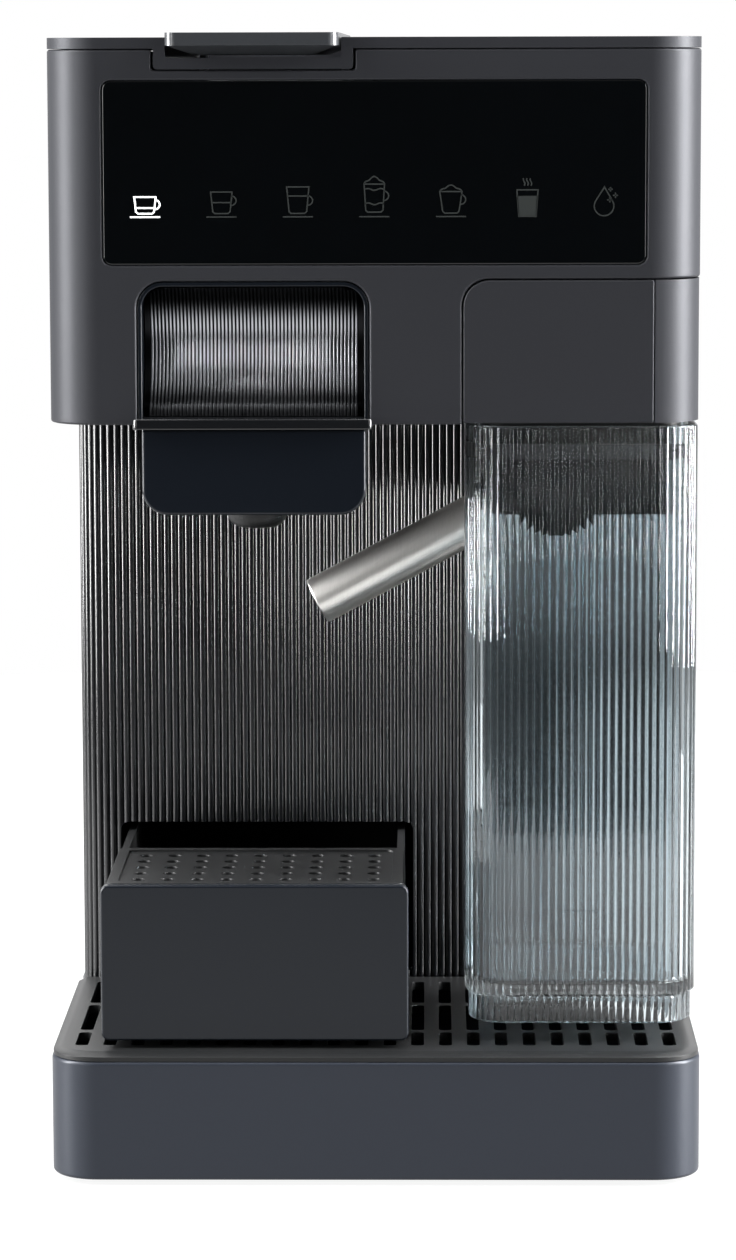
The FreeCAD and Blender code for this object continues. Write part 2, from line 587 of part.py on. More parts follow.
def brew_piston():
    """Moving cage ahead of the capsule, with a cross plate and two arms back to the follower."""
    front, rear = "slot_front - 3", "slot_rear - 3"
    cage = rod("Y", ("brew_x", "brew_z"), front, rear, "cage_radius")
    seat = rod("Y", ("brew_x", "brew_z"), front + " + 5", rear + " + 1", "cage_radius - 3")
    groove = cut(rod("Y", ("brew_x", "brew_z"), rear + " - 5", rear + " - 2", "cage_radius + 1"),
                 rod("Y", ("brew_x", "brew_z"), rear + " - 6", rear + " - 1", "cage_radius - 1.2"))
    arms = []
    for x in (("channel_left - 2.3", "channel_left - 0.3"), ("channel_right + 0.4", "channel_right + 2.4")):
        arms.append(box(x, (front + " - 6", "pivot_y + follower_lead + 7"),
                        ("pivot_z - follower_drop - 6", "pivot_z - follower_drop + 6")))
    cross = box(("channel_left - 2.3", "channel_right + 2.4"), (front + " - 6", front),
                ("brew_z - cage_radius", "pivot_z - follower_drop + 6"))
    bore = rod("X", ("pivot_y + follower_lead", "pivot_z - follower_drop"),
               "channel_left - 4", "channel_right + 4", "3.02")
    node(cut(fuse(cage, cross, *arms), seat, groove, bore), "brew_piston")


def piston_seal():
    """Rubber ring in the cage's groove."""
    ring = doc.addObject("Part::Torus", "Ring")
    ring.Placement = FreeCAD.Placement(Vector(), FreeCAD.Rotation(Vector(1, 0, 0), -90))
    bind(ring, Radius1="cage_radius", Radius2="1.2", Placement__Base__x="brew_x",
         Placement__Base__y="slot_rear - 6.5", Placement__Base__z="brew_z")
    node(ring, "piston_seal")


def follower_pin():
    """Pin across the piston's arms that runs in the cam slots."""
    node(rod("X", ("pivot_y + follower_lead", "pivot_z - follower_drop"),
             "channel_left - 2.3", "channel_right + 2.4", "3"), "follower_pin")


# ---------------------------------------------------------------- water and steam path
def pump():
    """Vibration pump: coil housing with an inlet and an outlet stub."""
    place = ("pump_x", "pump_z")
    coil = rod("Y", place, "pump_front + 9", "pump_rear - 7", "17")
    inlet = rod("Y", place, "pump_rear - 7", "pump_rear", "6")
    outlet = rod("Y", place, "pump_front", "pump_front + 9", "6")
    node(fuse(coil, inlet, outlet), "pump")


def pump_mounts():
    """Two rubber rings on legs that hold the pump off the base."""
    rings = []
    place = ("pump_x", "pump_z")
    for start in ("pump_front + 18", "pump_rear - 19"):
        along = (start, start + " + 6")
        ring = rod("Y", place, *along, "21")
        leg = box(("pump_x - 4", "pump_x + 4"), along, ("base_bottom + wall", "pump_z - 18"))
        rings.append(fuse(ring, leg))
    node(cut(fuse(*rings), rod("Y", place, "pump_front + 14", "pump_rear - 9", "17")), "pump_mounts")


def thermoblock():
    """Cast heater block with ribs on top."""
    block = plate("Z", ("heater_left", "heater_right"), ("heater_front", "heater_rear"),
                  ("heater_bottom", "heater_top"), "5")
    ribs = []
    for index in range(7):
        start = "heater_front + 7 + 14 * %d" % index
        ribs.append(box(("heater_left + 4", "heater_right - 4"), (start, start + " + 4"),
                        ("heater_top - 1", "heater_top + 10")))
    node(fuse(block, *ribs), "thermoblock")


def flow_meter():
    """Small turbine meter in the base."""
    drum = rod("Z", ("meter_x", "meter_y"), "base_bottom + wall", "base_bottom + 23", "14")
    port = rod("Y", ("meter_x", "base_bottom + 13"), "meter_y + 10", "meter_y + 20", "hose_radius")
    node(fuse(drum, port), "flow_meter")


def steam_valve():
    """Solenoid valve between heater and milk unit."""
    coil = box(("valve_x - 11", "valve_x + 11"), ("valve_y - 13", "valve_y + 13"),
               ("valve_bottom", "valve_bottom + 28"))
    node(fuse(coil, rod("Z", ("valve_x", "valve_y"), "valve_bottom - 4", "valve_bottom", "4")), "steam_valve")


def steam_port():
    """Steam nozzle that reaches into the back of the milk head."""
    body = rod("Y", ("steam_x", "steam_z"), "bay_rear - 6", "bay_rear + 12", "4")
    node(cut(body, rod("Y", ("steam_x", "steam_z"), "bay_rear - 7", "bay_rear + 8", "1.5")), "steam_port")


def main_board():
    """Control board on the column's left wall."""
    across = ("-column_half + wall + 0.5", "-column_half + wall + 2.1")
    node(box(across, ("-40", "80"), ("60", "180")), "main_board")


def hoses():
    """Silicone hoses inside the casings, each one whole."""
    r = num("hose_radius")
    port = num("tank_port_y")
    block_in = (60, -12, 110)
    routes = {
        "hose_tank_to_meter": [(0, port, 27.6), (2, port - 3, 17), (14, port - 12, 12), (36, 104, 11),
                               (60, 74, 11), (64.5, 34, 13), (62, 0.2, 14)],
        "hose_meter_to_pump": [(62, -20, 24.2), (64, -19, 36), (72, -10, 48), (76, 20, 54), (77, 55, 56),
                               (72, 80, 60), (60, 87, 62), (51.5, 84.5, 62), (50, 77.2, 62)],
        "hose_pump_to_heater": [(50, 5.8, 62), (50, -4, 63), (52, -14, 72), (57, -15, 88),
                                (59.5, -13, 100), (block_in[0], block_in[1], 109.8)],
        "hose_heater_to_brew": [(30, 41, 140.2), (29, 43, 152), (24, 46, 168), (14, 44, 190), (8, 34, 216),
                                (7, 18, 236), (7, -4, 246), (6.5, -24, 248)],
        "hose_heater_to_steam": [(60, -37.5, 150.2), (60, -38.5, 160), (58, -42, 174), (54, -46.5, 188),
                                 (51.5, -48.5, 199), (51, -49, 207.8)],
    }
    for name, route in routes.items():
        node(made_by_code(tube_along(route, r)), name)


# ---------------------------------------------------------------- capsule drawer
def drawer_bin():
    """Open-topped capsule bin behind the cup stand."""
    side = ("drawer_left + 1.5", "drawer_right - 1.5")
    outer = box(side, ("drawer_front + 3", "drawer_front + drawer_length"),
                ("drawer_bottom + 0.5", "drawer_top - 1.6"))
    room = box(("drawer_left + 3.5", "drawer_right - 3.5"),
               ("drawer_front + stand_length + 3", "drawer_front + drawer_length - 2"),
               ("drawer_bottom + 2.5", "drawer_top + 1"))
    under = box(("drawer_left + 3.5", "drawer_right - 3.5"),
                ("drawer_front + 5", "drawer_front + stand_length + 1"),
                ("drawer_bottom + 2.5", "drawer_top + 1"))
    node(cut(outer, room, under), "drawer_bin")


def drawer_front():
    """Front plate of the drawer."""
    node(plate("Y", ("drawer_left", "drawer_right"), ("drawer_bottom", "drawer_top"),
               ("drawer_front", "drawer_front + 3"), "2"), "drawer_front")


def cup_plate():
    """Perforated stand on the front part of the drawer."""
    body = plate("Z", ("drawer_left + 1.5", "drawer_right - 1.5"),
                 ("drawer_front + 3.1", "drawer_front + stand_length"),
                 ("drawer_top - 1.6", "drawer_top"), "1.5")
    sketch = sketch_on(body, "XY_Plane", "drawer_top + 1")
    middle_x = (num("drawer_left") + num("drawer_right")) / 2
    middle_y = num("drawer_front") + 30
    across, along, radius = num("drain_step_across"), num("drain_step_along"), num("drain_radius")
    for row in range(-2, 3):
        for column in range(-4, 5):
            centre = Vector(middle_x + across * column, middle_y + along * row, 0)
            sketch.addGeometry(Part.Circle(centre, Vector(0, 0, 1), radius))
    pocket = body.newObject("PartDesign::Pocket", "DrainHoles")
    pocket.Profile = sketch
    pocket.Length = 5
    node(body, "cup_plate")


# ---------------------------------------------------------------- drip tray
def drip_tray():
    """Tray with a deep front skirt; the chassis shelf runs under its floor."""
    outer = plate("Z", ("-half_width", "half_width"), ("-half_depth", "tray_rear + 20"),
                  ("base_bottom + 0.5", "grid_bottom"), "tray_corner")
    inside = plate("Z", ("-half_width + wall", "half_width - wall"), ("-half_depth + wall", "tray_rear - wall"),
                   ("base_bottom + 5", "grid_bottom + 1"), "tray_corner - wall")
    under = box(("-shelf_half - 0.6", "shelf_half + 0.6"), ("-half_depth + 3.6", "tray_rear + 1"),
                ("base_bottom", "base_bottom + shelf_thick + 0.6"))
    behind = box(("-half_width - 1", "half_width + 1"), ("tray_rear", "tray_rear + 30"),
                 ("0", "grid_bottom + 2"))
    node(cut(outer, inside, under, behind), "drip_tray")


def drip_grid():
    """Slotted grid: one column of three slots, patterned across, and a finger hole that spans three of them."""
    body = plate("Z", ("-half_width + 0.4", "half_width - 0.4"), ("-half_depth + 0.4", "tray_rear"),
                 ("grid_bottom", "grid_top"), "tray_corner - 1")
    sketch = sketch_on(body, "XY_Plane", "grid_top + 1")
    left = "-slot_pitch * (slot_count - 1) / 2"
    for rows in (("near_start", "near_end"), ("mid_start", "mid_end"), ("far_start", "far_end")):
        add_rounded_rectangle(sketch, (left + " - slot_width / 2", left + " + slot_width / 2"), rows, "1")
    pocket = body.newObject("PartDesign::Pocket", "SlotColumn")
    pocket.Profile = sketch
    pocket.Length = 6
    doc.recompute()
    pattern = body.newObject("PartDesign::LinearPattern", "SlotRow")
    pattern.Originals = [pocket]
    pattern.Direction = (sketch, ["H_Axis"])
    pattern.setExpression("Length", expr("slot_pitch * (slot_count - 1)"))
    pattern.setExpression("Occurrences", expr("slot_count"))
    finger = body.newObject("PartDesign::Pocket", "FingerHole")
    finger.Profile = sketch_on(body, "XY_Plane", "grid_top + 1")
    half = "(slot_pitch + slot_width / 2)"
    add_rounded_rectangle(finger.Profile[0], ("finger_hole_x - " + half, "finger_hole_x + " + half),
                          ("far_start", "far_end"), "1")
    finger.Length = 6
    body.Tip = finger
    node(body, "drip_grid")


# ---------------------------------------------------------------- milk unit
def milk_container():
    """Clear jug, open at the top, on a foot that is hollow beneath."""
    span_y = ("head_front", "milk_rear")
    upper = plate("Z", ("milk_left", "milk_right"), span_y, ("milk_floor - 2.3", "milk_rim"), "milk_corner")
    foot = plate("Z", ("milk_left + 1", "milk_right - 1"), ("head_front + 1", "milk_rear - 1"),
                 ("milk_bottom", "milk_floor - 2"), "milk_corner - 1")
    inside = plate("Z", ("milk_left + milk_wall", "milk_right - milk_wall"),
                   ("head_front + milk_wall", "milk_rear - milk_wall"),
                   ("milk_floor", "milk_rim + 1"), "milk_corner - milk_wall")
    under = plate("Z", ("milk_left + 1 + milk_wall", "milk_right - 1 - milk_wall"),
                  ("head_front + 1 + milk_wall", "milk_rear - 1 - milk_wall"),
                  ("milk_bottom - 1", "milk_floor - 3"), "milk_corner - 1 - milk_wall")
    node(cut(fuse(upper, foot), inside, under), "milk_container")


def milk_head_casing():
    """Cover of the milk head, with the lug and stub that the spout turns on."""
    block = plate("Z", ("bay_left + 0.3", "head_half - 0.2"), ("head_front + 0.1", "bay_rear - gap"),
                  ("milk_rim + 0.9", "bay_top - gap"), "2")
    corner = plate("Z", ("bay_left - 30", "head_half - 0.2"), ("head_front + 0.1", "bay_rear + 30"),
                   ("milk_rim", "bay_top + 1"), "head_corner")
    outer = common(block, corner)
    inside = box(("bay_left + 3", "head_half - 3"), ("head_front + 5", "bay_rear - 14"),
                 ("milk_rim", "bay_top - 3"))
    face = box(("bay_left", "milk_head_seam"), ("head_front - 1", "head_front + 3"),
               ("milk_rim", "bay_top + 1"))
    lug = box(("spout_x - 8", "spout_x + 8"), ("bay_rear - 6", "bay_rear - 1"), ("spout_z - 8", "milk_rim + 2"))
    stub = rod("Y", ("spout_x", "spout_z"), "spout_y - 4", "bay_rear - 4", "4")
    steam = rod("Y", ("steam_x", "steam_z"), "bay_rear - 8", "bay_rear + 1", "4.6")
    node(cut(fuse(cut(outer, inside, face), lug, stub), steam), "milk_head_casing")


def milk_head_front():
    """Flush front plate of the milk head, left of the corner seam."""
    blank = plate("Y", ("bay_left + 0.3", "milk_head_seam + 20"), ("milk_rim - 20", "bay_top - gap"),
                  ("head_front", "head_front + 2.8"), "7")
    right = box(("milk_head_seam - 0.2", "milk_head_seam + 30"), ("head_front - 1", "head_front + 5"),
                ("milk_rim - 30", "bay_top + 1"))
    below = box(("bay_left - 1", "milk_head_seam + 1"), ("head_front - 1", "head_front + 5"),
                ("milk_rim - 30", "milk_rim + 0.9"))
    node(cut(blank, right, below), "milk_head_front")


def milk_head_core():
    """Dark insert under the cover that plugs the jug's mouth, hollow above for the milk path."""
    outer = plate("Z", ("milk_left + 4.5", "milk_right - 4.5"), ("head_front + 4.5", "milk_rear - 4.5"),
                  ("milk_rim - 24", "milk_rim + 0.8"), "6.5")
    belly = rod("Y", ("suction_x - 6", "milk_rim - 17.5"), "suction_y - 24", "suction_y + 24", "12.5")
    inside = plate("Z", ("milk_left + 6.5", "milk_right - 6.5"), ("head_front + 6.5", "milk_rear - 6.5"),
                   ("milk_rim - 22", "milk_rim + 2"), "4.5")
    hole = rod("Z", ("suction_x", "suction_y"), "milk_rim - 34", "milk_rim - 20", "3.05")
    node(cut(fuse(outer, belly), inside, hole), "milk_head_core")


def milk_gasket():
    """Seal between the insert and the jug."""
    height = ("milk_rim - 9", "milk_rim - 5")
    outer = plate("Z", ("milk_left + 2.6", "milk_right - 2.6"), ("head_front + 2.6", "milk_rear - 2.6"),
                  height, "8.4")
    inner = plate("Z", ("milk_left + 4.5", "milk_right - 4.5"), ("head_front + 4.5", "milk_rear - 4.5"),
                  ("milk_rim - 10", "milk_rim - 4"), "6.5")
    node(cut(outer, inner), "milk_gasket")


def milk_suction_tube():
    """Tube from the milk path to the jug's floor."""
    place = ("suction_x", "suction_y")
    tube = rod("Z", place, "milk_floor + 3", "milk_rim - 16", "3")
    node(cut(tube, rod("Z", place, "milk_floor + 2", "milk_rim - 15", "2")), "milk_suction_tube")


def slanted_spout(start, end, radius):
    """A cylinder on the spout's own slanted axis, from the knuckle's centre outwards."""
    tilt = math.radians(num("spout_tilt_deg"))
    along = Vector(-math.cos(tilt), 0, -math.sin(tilt))
    centre = Vector(num("spout_x"), num("spout_y"), num("spout_z"))
    return Part.makeCylinder(radius, end - start, centre + along * start, along)


def milk_spout():
    """Brushed tube that pours the milk, cut square at its tip."""
    radius, reach = num("spout_radius"), num("spout_length")
    bore = slanted_spout(8, reach + 1, radius - 1.1)
    node(made_by_code(slanted_spout(9, reach, radius).cut(bore)), "milk_spout")


def spout_knuckle():
    """Swivel that the spout plugs into, turning on the milk head's stub."""
    x, y, z = num("spout_x"), num("spout_y"), num("spout_z")
    knuckle = Part.makeCylinder(num("knuckle_radius"), 13, Vector(x, y - 6.6, z), Vector(0, 1, 0))
    plug = slanted_spout(6, 16, num("spout_radius") - 1.15)
    bore = Part.makeCylinder(4.06, 30, Vector(x, y - 12, z), Vector(0, 1, 0))
    tube = slanted_spout(9, 20, num("spout_radius")).cut(slanted_spout(8, 21, num("spout_radius") - 1.1))
    node(made_by_code(knuckle.fuse(plug).cut(tube).cut(bore).removeSplitter()), "spout_knuckle")


# ---------------------------------------------------------------- water tank
def tank_seat():
    """Platform with the port that the tank plugs onto."""
    y = "tank_port_y"
    deck = plate("Z", ("-head_half + wall + 0.2", "head_half - wall - 0.2"),
                 ("head_rear + 1", "half_depth - wall - 0.2"),
                 ("base_top - 4", "base_top"), "base_corner - wall")
    boss = rod("Z", ("0", y), "base_top - 6", "base_top + 5.2", "tank_port_radius")
    node(cut(fuse(deck, boss), rod("Z", ("0", y), "base_top - 7", "base_top + 6", "5.5")), "tank_seat")


def water_tank():
    """Clear tank, open under its lid, with a socket in its floor and two ears that carry the lid's pins."""
    outer = plate("Z", ("-tank_half", "tank_half"), ("tank_front", "tank_rear"),
                  ("tank_bottom", "tank_top"), "12")
    inner = plate("Z", ("-tank_half + tank_wall", "tank_half - tank_wall"),
                  ("tank_front + tank_wall", "tank_rear - tank_wall"),
                  ("tank_bottom + 7", "tank_top + 1"), "12 - tank_wall")
    socket = rod("Z", ("0", "tank_port_y"), "tank_bottom - 1", "tank_bottom + 8", "tank_port_radius + 0.4")
    ears = []
    for near, far in (("ear_x", "ear_x + ear_thick"), ("-ear_x - ear_thick", "-ear_x")):
        ears.append(box((near, far), ("hinge_y - hinge_radius", "hinge_y + hinge_radius"),
                        ("tank_top - 3", "hinge_z")))
        ears.append(rod("X", ("hinge_y", "hinge_z"), near, far, "hinge_radius"))
        ears.append(rod("X", ("hinge_y", "hinge_z"), near + " - 3", far + " + 3", "pin_thin"))
    node(fuse(cut(outer, inner, socket), *ears), "water_tank")


def tank_valve():
    """Valve over the tank's socket, with the stem that the port opens."""
    cap = rod("Z", ("0", "tank_port_y"), "tank_bottom + 7", "tank_bottom + 12", "13")
    stem = rod("Z", ("0", "tank_port_y"), "tank_bottom + 2", "tank_bottom + 7", "3")
    node(fuse(cap, stem), "tank_valve")


def tank_lid():
    """Flat lid with a round rear edge that turns on the tank's pins."""
    blank = plate("Z", ("-tank_half + 0.2", "tank_half - 0.2"), ("tank_front + 0.2", "tank_rear - 0.2"),
                  ("tank_top + gap", "tank_top + 4"), "11.8")
    behind = box(("-tank_half", "tank_half"), ("hinge_y", "tank_rear + 1"), ("tank_top", "tank_top + 5"))
    barrel = rod("X", ("hinge_y", "hinge_z"), "-hinge_half", "hinge_half", "hinge_radius")
    hollow = plate("Z", ("-20", "20"), ("tank_front + 2.2", "tank_front + 12.2"),
                   ("tank_top + 2", "tank_top + 5"), "4")
    cuts = [hollow]
    for near, far in (("ear_x", "ear_x + ear_thick"), ("-ear_x - ear_thick", "-ear_x")):
        cuts.append(box((near + " - 0.4", far + " + 0.4"), ("hinge_y - 3", "tank_rear + 1"),
                        ("tank_top", "tank_top + 5")))
        cuts.append(rod("X", ("hinge_y", "hinge_z"), near + " - 3.4", far + " + 3.4", "pin_thin + 0.12"))
    node(cut(fuse(cut(blank, behind), barrel), *cuts), "tank_lid")


MAKERS = [
    chassis_base, rubber_feet, column_casing, rib_panel, drawer_bay, casing_screws, cord_gland,
    head_shell, milk_dock, head_underside, top_lid, display_glass, icon_light_guides, display_board, arch_trim,
    scoop_panel, finger_ledge, nose_cover, outlet_dome,
    lever_handle, lever_cams, lever_pin, brew_frame, pierce_plate, coffee_channel, capsule_chute,
    brew_piston, piston_seal, follower_pin,
    pump, pump_mounts, thermoblock, flow_meter, steam_valve, steam_port, main_board, hoses,
    drawer_bin, drawer_front, cup_plate, drip_tray, drip_grid,
    milk_container, milk_head_casing, milk_head_front, milk_head_core, milk_gasket, milk_suction_tube,
    milk_spout, spout_knuckle, tank_seat, water_tank, tank_valve, tank_lid,
]

for maker in MAKERS:
    maker()
doc.recompute()

faults = [obj.Name for obj in doc.Objects if {"Invalid", "Error"} & set(obj.State)]
for piece in NODES:
    if piece.Shape.isNull() or not piece.Shape.isValid() or not piece.Shape.Solids:
        faults.append(piece.Label)
if faults:
    raise SystemExit("failed: " + ", ".join(faults))

os.makedirs("parts", exist_ok=True)
for piece in NODES:
    piece.Shape.exportStep(os.path.join("parts", piece.Label + ".step"))
    bounds = piece.Shape.BoundBox
    print("%-22s %2d solids  X %7.1f %7.1f  Y %7.1f %7.1f  Z %6.1f %6.1f" % (
        piece.Label, len(piece.Shape.Solids), bounds.XMin, bounds.XMax, bounds.YMin, bounds.YMax,
        bounds.ZMin, bounds.ZMax))
print(len(NODES), "nodes")
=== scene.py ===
"""Looks of a pod coffee machine with a milk unit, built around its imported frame. Lengths are in metres."""
import json
import logging
import math
from dataclasses import dataclass, field
from enum import Enum
from typing import Any, Callable, Sequence

import bmesh
import bpy
from mathutils import Matrix, Vector


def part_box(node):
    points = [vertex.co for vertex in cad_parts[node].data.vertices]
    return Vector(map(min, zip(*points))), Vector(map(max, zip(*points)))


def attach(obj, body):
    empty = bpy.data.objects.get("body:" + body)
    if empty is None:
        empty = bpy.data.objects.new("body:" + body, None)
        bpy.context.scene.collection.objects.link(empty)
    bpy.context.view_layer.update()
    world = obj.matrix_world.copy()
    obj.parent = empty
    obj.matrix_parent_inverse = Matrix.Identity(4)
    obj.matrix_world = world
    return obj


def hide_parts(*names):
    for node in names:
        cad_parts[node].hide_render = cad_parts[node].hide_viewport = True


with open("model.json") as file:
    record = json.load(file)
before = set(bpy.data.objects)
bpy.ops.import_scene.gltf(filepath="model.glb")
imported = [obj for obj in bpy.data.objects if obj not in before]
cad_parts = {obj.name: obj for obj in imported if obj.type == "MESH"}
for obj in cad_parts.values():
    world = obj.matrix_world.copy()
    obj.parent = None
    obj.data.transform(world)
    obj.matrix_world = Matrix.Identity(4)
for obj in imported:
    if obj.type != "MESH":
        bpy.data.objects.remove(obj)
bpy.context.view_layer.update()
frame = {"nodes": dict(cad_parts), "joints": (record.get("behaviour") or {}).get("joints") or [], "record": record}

LOG = logging.getLogger("pod_coffee_machine")
MM = 0.001
GLOSS_PATCH = 40 * MM
WHITE = "#ffffff"
Point = tuple[float, float]
Span = tuple[float, float]
Thing = bpy.types.Object
Tree = bpy.types.NodeTree
Socket = bpy.types.NodeSocket


# ---- places and outlines
class Axis(Enum):
    """The row axis that a section is drawn out along."""

    X = 0
    Y = 1
    Z = 2

    def point(self, u: float, v: float, w: float) -> Vector:
        """A point with u and v on the two other axes, in X, Y, Z order, and w along this one."""
        values = [u, v]
        values.insert(self.value, w)
        return Vector(values)


def extent(node: str) -> tuple[Span, Span, Span]:
    """Give the room that a frame node takes.

    Args:
        node: the node's name.

    Returns:
        its lowest and highest X, Y and Z.
    """
    low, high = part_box(node)
    return (low.x, high.x), (low.y, high.y), (low.z, high.z)


def grown(span: Span, by: float) -> Span:
    """The span made longer by that much at each end."""
    return span[0] - by, span[1] + by


def middle(span: Span) -> float:
    """The middle of a span."""
    return (span[0] + span[1]) / 2


def ends(span: Span, low: float, high: float) -> Span:
    """The span with its low and high end moved by so many millimetres."""
    return span[0] + low * MM, span[1] + high * MM


def from_low(span: Span, start: float, stop: float) -> Span:
    """A span between two distances, in millimetres, from another one's low end."""
    return span[0] + start * MM, span[0] + stop * MM


def joint_place(name: str) -> Vector:
    """The place of the frame's joint with that name."""
    return Vector(next(joint for joint in frame["joints"] if joint["name"] == name)["pos_m"])


def rounded(u: Span, v: Span, radii: float | Sequence[float], steps: int = 10) -> list[Point]:
    """Draw a rectangle with rounded corners, anticlockwise.

    Args:
        u: its span on the first axis.
        v: its span on the second axis.
        radii: one radius, or one each for the corners (low, low), (high, low), (high, high), (low, high).
        steps: how many edges a corner has.

    Returns:
        the outline's points.
    """
    sizes = [radii] * 4 if isinstance(radii, (int, float)) else list(radii)
    corners = [(u[0], v[0], 1, 1), (u[1], v[0], -1, 1), (u[1], v[1], -1, -1), (u[0], v[1], 1, -1)]
    points: list[Point] = []
    for index, ((cu, cv, du, dv), radius) in enumerate(zip(corners, sizes)):
        if radius <= 0:
            points.append((cu, cv))
            continue
        for step in range(steps + 1):
            angle = math.pi + index * math.pi / 2 + step / steps * math.pi / 2
            points.append((cu + radius * (du + math.cos(angle)), cv + radius * (dv + math.sin(angle))))
    return points


def circle(centre: Point, radius: float, steps: int = 48) -> list[Point]:
    """The points of a circle, anticlockwise."""
    turns = (2 * math.pi * i / steps for i in range(steps))
    return [(centre[0] + radius * math.cos(a), centre[1] + radius * math.sin(a)) for a in turns]


def ribbed(path: Sequence[Point], pitch: float, depth: float, closed: bool, steps: int = 8) -> list[Point]:
    """Lay ribs of a circular arc's section along a path, on its right-hand side.

    Args:
        path: the line that the ribs stand on.
        pitch: the width of one rib.
        depth: how far a rib stands proud, at most half the pitch.
        closed: whether the path's end joins its start.
        steps: how many edges a rib has.

    Returns:
        the ribbed line's points.
    """
    line = [Vector(p) for p in path] + ([Vector(path[0])] if closed else [])
    lengths = [0.0]
    for before, after in zip(line, line[1:]):
        lengths.append(lengths[-1] + (after - before).length)
    ribs = max(1, round(lengths[-1] / pitch))
    half = lengths[-1] / ribs / 2
    sweep = 2 * math.atan(max(depth, 0.001 * half) / half)
    radius = half / math.sin(sweep)
    points: list[Point] = []
    at = 0
    for index in range(ribs * steps if closed else ribs * steps + 1):
        angle = sweep * (2 * (index % steps) / steps - 1)
        want = (2 * (index // steps) + 1) * half + radius * math.sin(angle)
        want = min(max(want, 0.0), lengths[-1] - 1e-9)
        while lengths[at + 1] <= want:
            at += 1
        along = (line[at + 1] - line[at]).normalized()
        here = line[at] + along * (want - lengths[at])
        proud = radius * (math.cos(angle) - math.cos(sweep))
        points.append((here.x + along.y * proud, here.y - along.x * proud))
    return points


# ---- mesh work
def as_object(name: str, mesh: bpy.types.Mesh) -> Thing:
    """A new object in the scene that holds the mesh."""
    thing = bpy.data.objects.new(name, mesh)
    bpy.context.scene.collection.objects.link(thing)
    return thing


def from_faces(name: str, points: Sequence[Vector], faces: Sequence[Sequence[int]]) -> Thing:
    """Build a closed mesh with its faces turned outwards.

    Args:
        name: the piece's name.
        points: its corners.
        faces: corner numbers of each face.

    Returns:
        the new object.
    """
    mesh = bpy.data.meshes.new(name)
    mesh.from_pydata([tuple(p) for p in points], [], [list(f) for f in faces])
    work = bmesh.new()
    work.from_mesh(mesh)
    bmesh.ops.remove_doubles(work, verts=work.verts, dist=1e-7)
    bmesh.ops.recalc_face_normals(work, faces=work.faces)
    work.to_mesh(mesh)
    work.free()
    return as_object(name, mesh)


def loft(name: str, rings: Sequence[Sequence[Vector]], capped: bool = True, joined: bool = False) -> Thing:
    """Join rings of equal length with quads.

    Args:
        name: the piece's name.
        rings: the rings in order.
        capped: whether the first and last ring are closed with a face.
        joined: whether the last ring joins the first, as in a tube's wall.

    Returns:
        the new object.
    """
    size = len(rings[0])
    points = [p for ring in rings for p in ring]
    faces: list[list[int]] = []
    pairs = list(zip(range(len(rings) - 1), range(1, len(rings))))
    if joined:
        pairs.append((len(rings) - 1, 0))
    for low, high in pairs:
        for i in range(size):
            j = (i + 1) % size
            faces.append([low * size + i, low * size + j, high * size + j, high * size + i])
    if capped:
        faces.append(list(range(size)))
        faces.append([(len(rings) - 1) * size + i for i in range(size)])
    return from_faces(name, points, faces)


def stacked(name: str, levels: Sequence[tuple[Sequence[Point], float]]) -> Thing:
    """A solid through level outlines, each given with its height."""
    return loft(name, [[Vector((u, v, high)) for u, v in outline] for outline, high in levels])


def prism(name: str, axis: Axis, outline: Sequence[Point], span: Span) -> Thing:
    """The outline drawn out along an axis."""
    return loft(name, [[axis.point(u, v, w) for u, v in outline] for w in span])


def block(name: str, x: Span, y: Span, z: Span, radii: float | Sequence[float] = 0.0,
          steps: int = 10) -> Thing:
    """A block between three spans, with rounded upright corners."""
    return prism(name, Axis.Z, rounded(x, y, radii, steps), z)


def panel(name: str, x: Span, z: Span, radii: float | Sequence[float], y: Span) -> Thing:
    """A plate that faces the front, with rounded corners."""
    return prism(name, Axis.Y, rounded(x, z, radii), y)


def rod(name: str, axis: Axis, centre: Point, radius: float, span: Span, steps: int = 48) -> Thing:
    """A round bar along an axis."""
    return prism(name, axis, circle(centre, radius, steps), span)


def posts(name: str, outlines: Sequence[Sequence[Point]], z: Span) -> Thing:
    """Many outlines drawn out upwards into one mesh."""
    points: list[Vector] = []
    faces: list[list[int]] = []
    for outline in outlines:
        start, size = len(points), len(outline)
        points += [Vector((u, v, high)) for high in z for u, v in outline]
        low, top = (list(range(first, first + size)) for first in (start, start + size))
        sides = [[low[i], low[(i + 1) % size], top[(i + 1) % size], top[i]] for i in range(size)]
        faces += sides + [low, top]
    return from_faces(name, points, faces)


def turned(name: str, profile: Sequence[Point], centre: Vector, along: Vector, steps: int = 72) -> Thing:
    """Turn a closed profile round a line.

    Args:
        name: the piece's name.
        profile: radius and place along the line of each corner.
        centre: the line's start.
        along: the line's direction.
        steps: how many sides the round has.

    Returns:
        the new object.
    """
    turn = along.to_track_quat("Z", "Y").to_matrix()
    rings = []
    for radius, place in profile:
        flat = [Vector((u, v, place)) for u, v in circle((0, 0), radius, steps)]
        rings.append([centre + turn @ p for p in flat])
    return loft(name, rings, capped=False, joined=True)


def settle(thing: Thing) -> Thing:
    """Apply the object's modifiers to its mesh."""
    bpy.context.view_layer.update()
    done = bpy.data.meshes.new_from_object(thing.evaluated_get(bpy.context.evaluated_depsgraph_get()))
    thing.modifiers.clear()
    thing.data = done
    return thing


def combine(thing: Thing, operation: str, others: Sequence[Thing]) -> Thing:
    """Combine the object with others, one after another.

    Args:
        thing: the object that stays.
        operation: DIFFERENCE, UNION or INTERSECT.
        others: the objects that are used up.

    Returns:
        the object.
    """
    for other in others:
        step = thing.modifiers.new("combine", "BOOLEAN")
        step.operation = operation
        step.solver = "EXACT"
        step.object = other
        settle(thing)
        bpy.data.objects.remove(other)
    return thing


